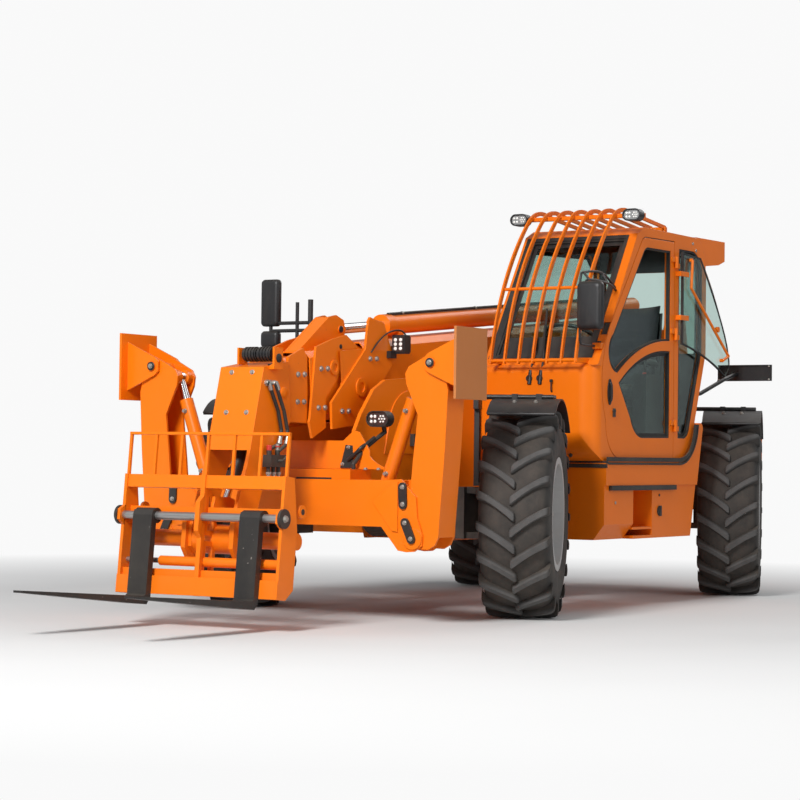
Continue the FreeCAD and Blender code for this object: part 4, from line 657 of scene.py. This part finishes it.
def window_trim():
    """Rubber seals and black borders of the panes, and the dark band at the windscreen's foot."""
    seals = Maker()
    prints = Maker()
    for outline, seal_x, seal, pane_x, border in ((QUARTER, SIDE_SEAL, 14, SIDE_PANE, 34),
                                                  (INNER_WINDOW, 303, 16, 318.6, 30)):
        seals.frame(curve(outline, seal_x), seal, X * 0.020)
        prints.frame(curve(outline, pane_x), border, X * 0.001)
    seals.frame(curve(OPEN_PANE, 1160.5), 11, X * 0.011)
    seals.block(1158, 1173, 1984, 1999, 1772, 2408)
    seals.frame(on_screen(370, 1070, 70, 1016.9, -20), 16, SCREEN_OUT * 0.017)
    seals.done("window_seals", "chassis", "black_plastic", RUBBER)
    prints.slab(on_screen(386, 1054, 84, 232, -17.8), SCREEN_OUT * 0.001)
    for bonded in ((320, 371, 52, 1046), (1069, 1082, 52, 1046), (371, 1069, 1016, 1046),
                   (371, 1069, 52, 71)):
        prints.slab(on_screen(*bonded, 0.2), SCREEN_OUT * 0.003)
    prints.frame(on_screen(384, 1056, 84, 1003, -17.7), 30, SCREEN_OUT * 0.001)
    prints.done("glass_borders", "chassis", "black_plastic", PLASTIC)
    door = Maker()
    door.frame(curve(DOOR_UPPER, 1112), 13, X * 0.024)
    door.frame(curve(DOOR_LOWER, SIDE_SEAL), 13, X * 0.019)
    door.frame(curve(DOOR_LOWER, SIDE_PANE), 32, X * 0.001)
    door.done("door_seals", "door", "black_plastic", RUBBER)


def body_seams():
    """Wide lip of the rubber strip under the cab, and the seal round the door."""
    made = Maker()
    path = curve([(2330, 1400), (2262, 1219), ((2160, 1030), (1980, 960)), (900, 960), (842, 960)], 1164.5)
    path = [p for p in path if p.y < at(0, 2320, 0).y]
    made.strip(path, 9, 36, X * 0.009)
    made.block(640, 1173, 833, 842, 926, 951)
    grown = inset(curve(DOOR_SIDE, 1098), -0.0052)
    made.frame(grown, 4.6, X * 0.036)
    made.done("body_seams", "chassis", "black_plastic", RUBBER)


def front_wall():
    """Plate across the frame's front, the end plates of its beam, and the lamps' brackets and arms."""
    made = Maker()

    def on_slope(x, z, out=0):
        """Place on the frame's sloping front."""
        return at(x, -862 - (1135 - z) * 0.152 - out, z)

    half = [(261, 1075), (331, 1137), (371, 1127), (453, 1017), (458, 985), (480, 962), (514, 941),
            (594, 906)]
    made.slab([on_slope(x, z) for x, z in half + [(-x, z) for x, z in reversed(half)]], Y * -0.012)
    end_plate = ((790, 838), (761, 838), (617, 717), (752, 552), (790, 549))
    bracket = ((262, 912), (286, 1050), (332, 1046), (352, 940), (334, 912))
    arm = ((431, -803, 1094), (423, -852, 1066), (407, -905, 1036), (384, -915, 1010), (345, -914, 980),
           (314, -912, 958))
    for side in (-1, 1):
        made.finish = 0
        made.slab([at(side * x, -1109.5, z) for x, z in end_plate], Y * -0.009)
        made.finish = 1
        made.slab([on_slope(side * x, z, 11) for x, z in bracket], Y * -0.008)
        made.pipe([at(side * x, y, z) for x, y, z in arm], 12, 12)
        made.finish = 2
        for x, z in ((307, 1035), (276, 934)):
            made.lathe(on_slope(side * x, z, 18), Vector((0, -1, 0.15)),
                       [(0, 13), (3, 13), (3.5, 10), (10, 10), (12, 8)], 6)
    made.finish = 1
    made.block(40, 290, -1053, -1048, 840, 855)
    made.done("front_wall", "chassis", "orange_paint", ORANGE, BLACK, ZINC)


def wipers():
    """Two wipers with their spindles and blades, and the washer's nozzle and plug."""
    made = Maker()
    for foot, knee, low_end, high_end in ((672, 676, 128, 470), (748, 742, 120, 455)):
        made.rod(at(foot, 703, 1462), at(foot + 6, 716, 1552), 15)
        made.rod(at(foot, 696, 1500), at(foot, 712, 1500), 22)
        tip = screen(knee - 66, 300, 22)
        made.pipe([at(foot + 6, 712, 1545), screen(foot, 26, 26), screen(knee - 20, 140, 34), tip], 7)
        made.rod(tip, screen(knee - 66, 300, 2), 5)
        for deep, thick in ((-10, 3.5), (-3, 6)):
            made.rod(screen(knee - 30, low_end, deep), screen(knee - 104, high_end, deep), thick, 8)
    made.done("wipers", "chassis", "black_plastic", PLASTIC)
    washer = Maker()
    washer.pipe([at(838, 704, 1412), at(838, 692, 1424), at(838, 690, 1478)], 5)
    washer.rod(at(838, 690, 1474), at(838, 690, 1492), 10)
    washer.boss(at(948, 766, 1007), Vector((0, -1, -0.6)), 12, 10, 16, cut=3, edge=3)
    washer.done("washer_nozzle", "chassis", "black_plastic", RUBBER)


def oval(x, y, z, w, h, count=32):
    """Oval outline facing the front."""
    points = []
    for k in range(count):
        a = 2 * math.pi * k / count
        side = (w - h) / 2 if math.cos(a) > 0 else -(w - h) / 2
        points.append(at(x + side + math.cos(a) * h / 2, y, z + math.sin(a) * h / 2))
    return points


def lamp_faces():
    """Dark lens with its diodes on each lamp, its fins behind and the boom lamp's wire."""
    lenses = Maker()
    for x, y, z, w, h in ((354, 1135, 2583, 130, 80), (1188, 1135, 2583, 130, 80),
                          (453, -800, 1207, 155, 96), (-453, -800, 1207, 155, 96)):
        wide, tall = w / 155, h / 96
        lenses.finish = 3 if z > 2000 else 1
        lenses.slab(oval(x, y + 1, z, w - 20, h - 20), Y * -0.005)
        lenses.finish = 0
        lenses.frame(oval(x, y + 1, z, w, h), 8, Y * -0.013)
        for k in range(5):
            fin = x - w / 2 + 22 + k * (w - 44) / 4
            lenses.block(fin - 2, fin + 2, y + 56, y + 72, z - h * 0.34, z + h * 0.34)
        lenses.finish = 2
        spots = [(u * wide, v * tall, 9.5 * tall) for u in (-44, -18) for v in (-15, 15)]
        spots += [((30 + 19 * math.cos(a)) * wide, 19 * math.sin(a) * tall, 6.5 * tall)
                  for a in (math.pi * k / 3 for k in range(6))] + [(30 * wide, 0, 6.5 * tall)]
        for u, v, r in spots:
            lenses.lathe(at(x + u, y - 3, z + v), -Y, [(0, r), (3, r), (5, r * 0.75), (6, r * 0.3)], 12)
    lenses.done("work_lamp_faces", "chassis", "lamp_housing", PLASTIC, LENS, LED, REFLECTOR)
    square = Maker()
    for k in range(6):
        square.block(202 + k * 17, 205 + k * 17, -174, -158, 1635, 1732)
    square.pipe([at(245, -165, 1700), at(246, -140, 1735), at(232, -190, 1772), at(210, -300, 1752),
                 at(200, -400, 1690), at(197, -455, 1640), at(191, -470, 1622)], 5)
    square.finish = 1
    square.block(206, 284, -237, -230, 1637, 1730)
    square.finish = 2
    for u in (-19, 19):
        for v in (-27, 0, 27):
            square.boss(at(245 + u, -236, 1684 + v), -Y, 11, 4, 12)
    square.done("boom_lamp_face", "boom_outer", "lamp_housing", PLASTIC, LENS, LED)


def boom_bolts():
    """Bolts that hold the slide pads, on both cheeks of each section, and round the head's front cover."""
    places = {"boom_outer": (192, ((-481, 1583), (-405, 1586), (-793, 1253), (-720, 1255))),
              "boom_two": (164, ((-987, 1503), (-916, 1506), (-1011, 1269), (-940, 1271))),
              "boom_three": (140, ((-1199, 1461), (-1130, 1464), (-1201, 1299), (-1132, 1301)))}
    for body, (x, spots) in places.items():
        made = Maker()
        for side in (-1, 1):
            for y, z in spots:
                made.bolt(at(side * x, y, z), X * side)
        made.finish = 1
        if body == "boom_two":
            for side in (-1, 1):
                made.boss(at(side * 57, -607, 1761), X * side, 21, 5, cut=3)
                made.boss(at(side * x, -771, 1645), X * side, 15, 1.5, 20, base=-1, edge=1)
        if body == "boom_outer":
            made.pipe([on_boom(18, f, 350) for f in (3730, 3400, 2800, 2100, 1400, 900)], 9)
            made.finish = 0
            for f in (3560, 2600, 1600, 1000):
                made.rod(on_boom(18, f, 350), on_boom(18, f - 18, 350), 12, 12)
        made.done(body + "_bolts", body, "bare_steel", ZINC, RUBBER)
    head = Maker()
    out = Vector((0, -0.97, 0.26)).normalized()
    for x, y, z in ((-68, -1576, 1461), (76, -1576, 1461), (-60, -1638, 1227), (82, -1638, 1227)):
        head.bolt(at(x, y, z), out, 21)
    for side in (-1, 1):
        head.finish = 0
        head.boss(at(side * 152, *TILT_PIVOT), X * side, 46, 5, 28, cut=6, base=-1)
        head.bolt(at(side * 159, *TILT_PIVOT), X * side, 30)
        head.finish = 1
        head.boss(at(side * 152, -1360, 1350), X * side, 34, 4, base=-1)
    head.done("head_bolts", "boom_four", "bare_steel", ZINC, ORANGE)


def hose_ends():
    """Bright elbows, couplings and red caps of the hydraulic lines on the boom head."""
    made = Maker()
    for k in range(2):
        x, y = 168 + k * 30, -1545 + k * 30
        elbow = [at(150, y, 1400), at(x - 6, y, 1402), at(x + 2, y + 10, 1392), at(x + 2, y + 26, 1362)]
        made.pipe(elbow, 13.5)
        made.rod(at(152, y, 1400), at(166, y, 1400), 19, 6)
        made.lathe(at(x + 6, -1430 + k * 30, 1062), Vector((0, -0.3, -1)),
                   [(-30, 14), (0, 14), (2, 16), (16, 16)], 12)
    for y in (-1565, -1515, -1465):
        made.lathe(at(190, y, 886), -Z, [(0, 17), (13, 17), (15, 12), (52, 12)], 6)
    coupling = [(0, 13), (9, 13), (9, 10), (24, 10), (24, 12), (36, 12), (38, 8)]
    made.lathe(at(190, -1475, 1012), Z, coupling, 16)
    made.finish = 1
    made.boss(at(190, -1560, 1011), Z, 16, 26, 20, cut=3, edge=4)
    made.rod(at(190, -1475, 1030), at(190, -1475, 1037), 15, 20)
    made.finish = 2
    made.rod(at(228, -1515, 950), at(262, -1515, 950), 9)
    made.pipe([at(256, -1515, 950), at(262, -1500, 966), at(262, -1468, 990)], 6)
    made.done("head_fittings", "boom_four", "bare_steel", ZINC, RED_CAP, PLASTIC)
    rollers = Maker()
    for side in (-1, 1):
        rollers.boss(at(56 + side * 131, -1470, 1546), X * side, 26, 5, base=-2)
    rollers.done("roller_ends", "boom_four", "black_plastic", PLASTIC)


def leg_ends():
    """Black pin ends with their bolts on each stabiliser, its cylinder's ports and the beam's bolts."""
    keepers = Maker()
    for name, side in (("left", 1), ("right", -1)):
        made = Maker()
        made.finish = 1
        for y, out in ((-1126, -Y), (-874, Y)):
            place = at(side * 1000, y, 1525)
            made.boss(place, out, 27, 6, cut=3)
            made.bolt(place + out * 0.008, out, 22)
        made.done("pad_%s_pin_ends" % name, "leg_" + name, "black_paint", ZINC, BLACK)
        barrel = Maker()
        foot, eye = at(side * 620, -1000, 760), at(side * 870, -1000, 1460)
        for along in (0.13, 0.52):
            place = foot + (eye - foot).normalized() * along - Y * 0.040
            barrel.lathe(place, -Y, [(0, 15), (9, 15), (9, 11), (24, 11)], 6)
        barrel.done("stab_%s_ports" % name, "stab_barrel_" + name, "bare_steel", ZINC)
        for x, y, z in ((824, -1124, 807), (826, -1124, 708), (846, -1132, 601), (887, -1132, 510)):
            keepers.bolt(at(side * x, y, z), -Y, 20)
        for x in (520, 610):
            keepers.bolt(at(side * x, -1040, 905), Z, 20)
    keepers.done("front_beam_bolts", "chassis", "bare_steel", ZINC)


def carriage_frame():
    """Fork carriage with one open rib in its middle and the arms to the boom head set back behind it."""
    made = Maker()

    def plate(x0, x1, outline):
        made.slab([on_carriage(x0, y, z) for y, z in outline], X * ((x1 - x0) / 1000))

    def bar(x0, x1, y0, y1, z0, z1):
        plate(x0, x1, ((y0, z0), (y1, z0), (y1, z1), (y0, z1)))

    for side in (-1, 1):
        plate(side * 540, side * 560, ((-190, -335), (-190, 350), (-100, 350), (-40, 60), (-40, -275),
                                       (-110, -335)))
        plate(side * 540, side * 560, ((-185, 172), (-232, 142), (-232, 82), (-185, 52)))
        plate(side * 152.3, side * 182, ((-112, 128), (-112, -60), (-60, -120), (20, -110), (70, -70),
                                         (70, 60), (0, 90), (-60, 128)))
        made.slab([at(side * 26.3, y, z) for y, z in ((-1690, 675), (-1690, 725), (-1740, 740), (-1880, 745),
                                                      (-1900, 680), (-1740, 655))], X * side * 0.0197)
        bar(side * 544, side * 559.5, -195.7, -188, -334, -230)
        made.finish = 1
        made.rod(on_carriage(side * 559, *SHAFT), on_carriage(side * 576, *SHAFT), 55, 32)
        made.finish = 0
    bar(-545, 545, -180, -130, 275, 349)
    bar(-545, 545, -195.7, -165, -334, -230)
    bar(-540, 540, -165, -110, -265, -188)
    bar(-540, 540, -138, -98, 130, 170)
    made.rod(on_carriage(-540, 0, 0), on_carriage(540, 0, 0), 48, 36)
    bar(-15, 15, -190, -160, -335, 350)
    plate(-15, 15, ((-188, 235), (-226, 195), (-226, 30), (-188, -10)))
    for outline in (((-165, 10), (-165, 268), (-105, 268), (-45, 80), (-45, 10)),
                    ((-165, -325), (-165, -20), (-60, -20), (-42, -60), (-42, -275), (-112, -325))):
        made.frame([on_carriage(-12, y, z) for y, z in outline], 30, X * 0.024)
    bar(-558, 558, -176, -156, 579, 595)
    for k in range(7):
        x = 550 * (k - 3) / 3
        bar(x - 8, x + 8, -174, -158, 340, 591)
    piece = made.done("carriage_frame", "carriage", "orange_paint", ORANGE, BLACK)
    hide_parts("carriage")


def carriage_trim():
    """Bolts at the fork shaft's ends, and the pins that hold the tilt link."""
    made = Maker()
    for side in (-1, 1):
        made.bolt(on_carriage(side * 575, *SHAFT), X * side, 30)
        made.finish = 1
        made.rod(on_carriage(side * 542, 8, 168), on_carriage(side * 558, 8, 168), 38, 28)
        made.finish = 2
        made.rod(on_carriage(side * 541, 8, 168), on_carriage(side * 559.2, 8, 168), 17, 24)
    made.done("carriage_ends", "carriage", "black_paint", ZINC, ORANGE, BLACK)


def rounded(x0, x1, y, z0, z1, corner):
    """Outline with rounded corners, facing the front."""
    ring = []
    for x, z, start in ((x1 - corner, z1 - corner, 0), (x0 + corner, z1 - corner, 90),
                        (x0 + corner, z0 + corner, 180), (x1 - corner, z0 + corner, 270)):
        for k in range(6):
            a = math.radians(start + 18 * k)
            ring.append(at(x + corner * math.cos(a), y, z + corner * math.sin(a)))
    return ring


def mirror_head(maker, x0, x1, y0, y1, z0, z1, corner, dome, margin):
    """Housing with rounded corners whose front swells out; its flat back holds the glass."""
    steps = ((y1, 3), (y1 - 6, 0), (y0 + dome, 0), (y0 + dome * 0.45, dome * 0.22),
             (y0 + dome * 0.12, dome * 0.6), (y0, dome * 1.15))
    maker.skin([rounded(x0 + shrink, x1 - shrink, y, z0 + shrink, z1 - shrink, max(corner - shrink * 0.4, 4))
                for y, shrink in steps])
    maker.finish = 1
    glass = rounded(x0 + margin, x1 - margin, y1 + 0.5, z0 + margin, z1 - margin, corner - 6)
    maker.slab(glass, Y * 0.002)
    maker.finish = 0


def mirrors():
    """Rounded mirror housings on their brackets."""
    left = Maker()
    mirror_head(left, 1075, 1250, 560, 620, 1800, 2110, 32, 26, 9)
    left.pipe([at(1088, 590, 2060), at(1088, 604, 2140), at(1090, 640, 2172), at(1092, 900, 2186),
               at(1094, 1108, 2096)], 8)
    left.pipe([at(1130, 592, 2080), at(1132, 620, 2122), at(1132, 900, 2120), at(1098, 1110, 2080)], 8)
    left.rod(at(1092, 900, 2186), at(1132, 900, 2120), 8)
    left.rod(at(1090, 640, 2172), at(1132, 640, 2122), 8)
    left.pipe([at(1090, 590, 1815), at(1090, 600, 1730), at(1090, 640, 1710), at(1090, 868, 1710)], 8)
    left.boss(at(1107, 836, 1730), Z, 14, 10, 6)
    left.finish = 2
    left.block(1078, 1136, 800, 868, 1690, 1730)
    piece = left.done("mirror_left_round", "chassis", "black_plastic", PLASTIC, MIRROR, ORANGE)
    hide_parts("mirror_left")
    right = Maker()
    for z0, z1 in ((1830, 2140), (1690, 1800)):
        mirror_head(right, -970, -830, 0, 50, z0, z1, 24, 22, 8)
    right.rod(at(-900, 30, 1760), at(-900, 30, 1900), 12)
    for z in (1800, 1850):
        right.rod(at(-900, 30, z), at(-590, 25, z), 12)
    right.rod(at(-690, 27, 1720), at(-690, 27, 1985), 12)
    right.rod(at(-582, 20, 1120), at(-582, 20, 2000), 17)
    right.pipe([at(-582, 20, 1100), at(-582, 20, 1121), at(-470, 20, 1122), at(-331, 20, 1122)], 18)
    right.boss(at(-332, 20, 1122), -X, 42, 12)
    piece = right.done("mirror_right_round", "chassis", "black_plastic", PLASTIC, MIRROR)
    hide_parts("mirror_right")


def door_trim():
    """Handle in its oval recess, lock, the locker's latch and small screws of the cab's side."""
    made = Maker()
    ring = [at(1140.5, 927 + 31 * math.cos(a), 1417 + 84 * math.sin(a))
            for a in (2 * math.pi * k / 32 for k in range(32))]
    made.frame(ring, 9, X * 0.006)
    made.slab(inset(ring, 0.008), X * 0.002)
    made.boss(at(1140, 990, 1296), X, 17, 10, 20, cut=3)
    made.block(1140, 1150, 976, 1004, 1256, 1284)
    made.finish = 1
    made.pipe([at(1146, 925, 1480), at(1154, 925, 1462), at(1156, 927, 1417), at(1154, 929, 1372),
               at(1146, 929, 1356)], 9)
    made.rod(at(1151, 990, 1296), at(1154, 990, 1296), 9)
    made.done("door_handle", "door", "black_plastic", PLASTIC, BLACK)
    latch = Maker()
    latch.boss(at(1153, 1672, 639), X, 32, 5)
    latch.block(1158, 1170, 1662, 1682, 604, 674)
    latch.rod(at(1153, 1672, 745), at(1157, 1672, 745), 9, 12)
    latch.finish = 1
    for y, z in ((2215, 2485), (2269, 2440)):
        latch.boss(at(1140, y, z), X, 11, 4, 16)
    latch.boss(at(1153, 1000, 700), X, 10, 4, 16, cut=3)
    for x in (1018, 1403):
        for z in (1567, 1661):
            latch.boss(at(x, PLATE_Y - 22, z), -Y, 6, 3, 12, cut=2, edge=1)
    latch.done("side_latches", "chassis", "black_plastic", BLACK, ZINC)


def wheel_trim():
    """Wheel nuts, hub cover bolts and plug, and the valve of each wheel."""
    for body, joint in SPIN.items():
        made = Maker()
        centre, out = Vector(joint["pos_m"]), Vector(joint["axis"]).normalized()
        if out.x * centre.x < 0:
            out = -out
        u = out.cross(Z).normalized()
        v = out.cross(u)
        for count, half_step, deep, circle, across in ((NUTS, 0, 0.018, NUT_CIRCLE, 27),
                                                       (HUB_BOLTS, 0.5, 0.150, HUB_CIRCLE, 15)):
            for k in range(count):
                a = 2 * math.pi * (k + half_step) / count
                ray = u * math.cos(a) + v * math.sin(a)
                made.bolt(centre + out * deep + ray * circle, out, across)
        made.boss(centre + out * 0.167, out, 17, 8, 6, cut=3)
        made.finish = 1
        made.lathe(centre + out * 0.149, out, [(0, 84), (10, 82), (16, 70), (19, 30)], 40)
        made.finish = 2
        valve = centre + out * 0.020 + u * 0.235
        made.rod(valve, valve + out * 0.045 - u * 0.012, 5)
        made.done(body + "_nuts", body, "wheel_silver", ZINC, SILVER, RUBBER)


def tyres():
    """Tyres whose lugs' inner ends meet the ground first, as the photograph shows them."""
    half = [(190, 331), (213, 372), (219.5, 440), (216, 505), (203, 555), (181, 584), (140, 600), (70, 606)]
    casing = half + [(-x, r) for x, r in reversed(half)]
    # one lug from the middle out: place across, place along, its top's and foot's radius, and width
    lug = [(-17, 12, 622, 596, 34), (-12, 9, 635, 598, 46), (-2, 2, 640, 600, 54), (30, -23, 640, 600, 50),
           (75, -56, 640, 600, 46), (120, -86, 639.5, 596, 44), (165, -112, 638, 585, 44),
           (196, -127, 633, 566, 45), (212, -134, 622, 550, 45), (218.5, -137, 602, 538, 42),
           (219.8, -138, 570, 528, 34)]
    lugs, outer = 40, 640
    for body, joint in SPIN.items():
        centre, out = Vector(joint["pos_m"]), Vector(joint["axis"]).normalized()
        ahead = out.cross(Z)

        def on_tyre(x, turn, radius):
            return centre + out * (x / 1000) + (Z * math.cos(turn) + ahead * math.sin(turn)) * (radius / 1000)

        made = Maker()
        made.hoop([[on_tyre(x, 2 * math.pi * k / 90, r) for x, r in casing] for k in range(90)])
        for k in range(lugs):
            side = 1 if k % 2 else -1
            turn = 2 * math.pi * k / lugs
            rings = []
            for x, along, top, low, width in lug:
                edge = ((-width / 2 - 7, low), (-width / 2 - 2, top - 9), (-width / 2 + 5, top))
                edge += tuple((-wide, r) for wide, r in reversed(edge))
                rings.append([on_tyre(side * x, turn + (along + wide) / outer, r) for wide, r in edge])
            made.skin(rings)
        node = body.replace("wheel", "tyre")
        piece = made.done(node + "_lugged", body, "tyre_rubber",
                          tyre_material(node + "_tread", joint["pos_m"], joint["axis"]))
        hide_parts(node)


def fender_bolts():
    """Two bolts through the front of each mudguard into its stay."""
    for end, axle in (("front", 0), ("rear", 3200)):
        for name, side in (("left", 1), ("right", -1)):
            corner = "_%s_%s" % (end, name)
            out = Vector(SPIN["wheel" + corner]["axis"])
            ahead = out.cross(Z)
            made = Maker()
            for reach in (0.153, 0.284):
                place = at(side * 800, axle, 1325) + out * side * reach + ahead * 0.19
                made.bolt(place, Z + ahead * 0.27, 20)
            made.done("knuckle" + corner + "_guard_bolts", "knuckle" + corner, "bare_steel", ZINC)


def rear_trim():
    """Tail lamps on the counterweight's corners, the grille's dark mesh and the lid's handle."""
    made = Maker()
    for side in (-1, 1):
        out = Vector((side * 0.68, 0.73, 0)).normalized()
        for finish, z, r in ((1, 1010, 44), (2, 905, 36), (3, 825, 30)):
            place = at(side * 822, 4152, z)
            made.finish = 0
            made.boss(place - out * 0.004, out, r + 7, 12, 28)
            made.finish = finish
            made.boss(place + out * 0.009, out, r, 4, 28, cut=r * 0.2, edge=3)
    made.done("tail_lamps", "chassis", "lamp_housing", PLASTIC, RED, AMBER, LENS)
    mesh = Maker()
    for k in range(30):
        y = 1298 + k * 31
        mesh.block(-1139.5, -1136, y, y + 7, 745, 1330)
    for k in range(20):
        z = 752 + k * 30
        mesh.block(-1136.5, -1133, 1292, 2208, z, z + 7)
    mesh.done("grille_mesh", "chassis", "black_paint", BLACK_GRIT)
    pull = Maker()
    pull.pipe([at(-1167, 1520, 1472), at(-1169, 1522, 1462), at(-1169, 1540, 1460), at(-1169, 1640, 1460),
               at(-1169, 1658, 1462), at(-1167, 1660, 1472)], 5)
    pull.done("lid_pull", "hood_lid", "black_paint", BLACK)


def cushion(name, centre, size, slope, dents):
    """Stuffed pad: crowned faces, sides that pull in between the corners, and sewn channels across it."""
    counts = (26, 26, 6)
    mesh = bmesh.new()
    grid = {}

    def point(*step):
        if step in grid:
            return grid[step]
        u, v, w = (2 * i / count - 1 for i, count in zip(step, counts))
        waist = 1 - 0.09 * w * w
        across = u * waist * (1 - 0.055 * (1 - v * v) * abs(u) ** 3)
        along = v * waist * (1 - 0.055 * (1 - u * u) * abs(v) ** 3)
        crown = (1 - abs(u) ** 3.2) * (1 - abs(v) ** 3.2)
        height = w * (0.62 + 0.38 * crown ** 0.5)
        if w > 0.5:
            height -= sum(0.16 * math.exp(-((v - line) / 0.05) ** 2) * crown for line in dents)
        place = Vector((across * size[0], along * size[1], height * size[2])) / 2000
        grid[step] = mesh.verts.new(Matrix.Rotation(slope, 3, "X") @ place + at(*centre))
        return grid[step]

    for axis in range(3):
        a, b = (n for n in range(3) if n != axis)
        for end in (0, counts[axis]):
            for i in range(counts[a]):
                for j in range(counts[b]):
                    corners = []
                    for step_a, step_b in ((i, j), (i + 1, j), (i + 1, j + 1), (i, j + 1)):
                        step = [end] * 3
                        step[a], step[b] = step_a, step_b
                        corners.append(point(*step))
                    mesh.faces.new(corners)
    piece = piece_of(mesh, name, "chassis", [CLOTH])


def seat():
    """Seat stand with bellows and shell; its two cushions and armrests."""
    base = Maker()
    for k in range(5):
        half = 170 if k % 2 else 182
        fold = 182 - half
        base.block(CAB_X - half, CAB_X + half, 1630 + fold, 1940 - fold, 1010 + k * 66, 1076 + k * 66)
    base.block(CAB_X - 220, CAB_X + 220, 1600, 2080, 1340, 1388)
    shell = [at(500, 2064, 1400), at(940, 2064, 1400), at(930, 2150, 2000), at(510, 2150, 2000)]
    base.slab(shell, Vector((0, 0.035, 0.004)))
    for x in (488, 932):
        base.block(x, x + 22, 2010, 2062, 1380, 1640)
        base.pipe([at(x + 11, 2040, 1630), at(x + 11, 1990, 1650), at(x + 11, 1760, 1650)], 24, 12)
    piece = base.done("seat_stand", "chassis", "black_plastic", PLASTIC)
    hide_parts("operator_seat")
    cushion("seat_cushion", (CAB_X, 1838, 1440), (470, 490, 118), 0.0, (-0.35, 0.1, 0.5))
    cushion("seat_back", (CAB_X, 2068, 1745), (450, 620, 105), math.radians(82), (-0.45, -0.05, 0.4))


def controls():
    """Console in the cab: instrument panel, joystick and pedals."""
    made = Maker()
    made.sheet(600, 840, (962, 1585), (1072, 1556), Z * 0.012)
    made.block(960, 1060, 1640, 2040, 1005, 1560)
    made.rod(at(1010, 1740, 1556), at(1010, 1728, 1660), 9)
    made.lathe(at(1010, 1730, 1650), Vector((0, -0.1, 1)), [(0, 16), (30, 24), (62, 22), (72, 12)], 16)
    for x in (620, 800):
        made.sheet(x, x + 70, (1135, 1030), (1180, 1110), Y * 0.012)
    made.finish = 1
    made.sheet(640, 800, (985, 1592), (1040, 1578), Z * 0.006)
    made.finish = 2
    made.boss(at(1030, 1680, 1558), Z, 14, 10, 16, edge=4)
    made.done("cab_controls", "chassis", "black_plastic", PLASTIC, LENS, RED_CAP)


def add_trim():
    window_trim()
    body_seams()
    front_wall()
    wipers()
    lamp_faces()
    boom_bolts()
    hose_ends()
    leg_ends()
    carriage_frame()
    carriage_trim()
    mirrors()
    door_trim()
    wheel_trim()
    tyres()
    fender_bolts()
    rear_trim()
    seat()
    controls()


bpy.context.scene.view_settings.view_transform = "Standard"
dress_nodes()
add_trim()
aim_camera()
light_stage()
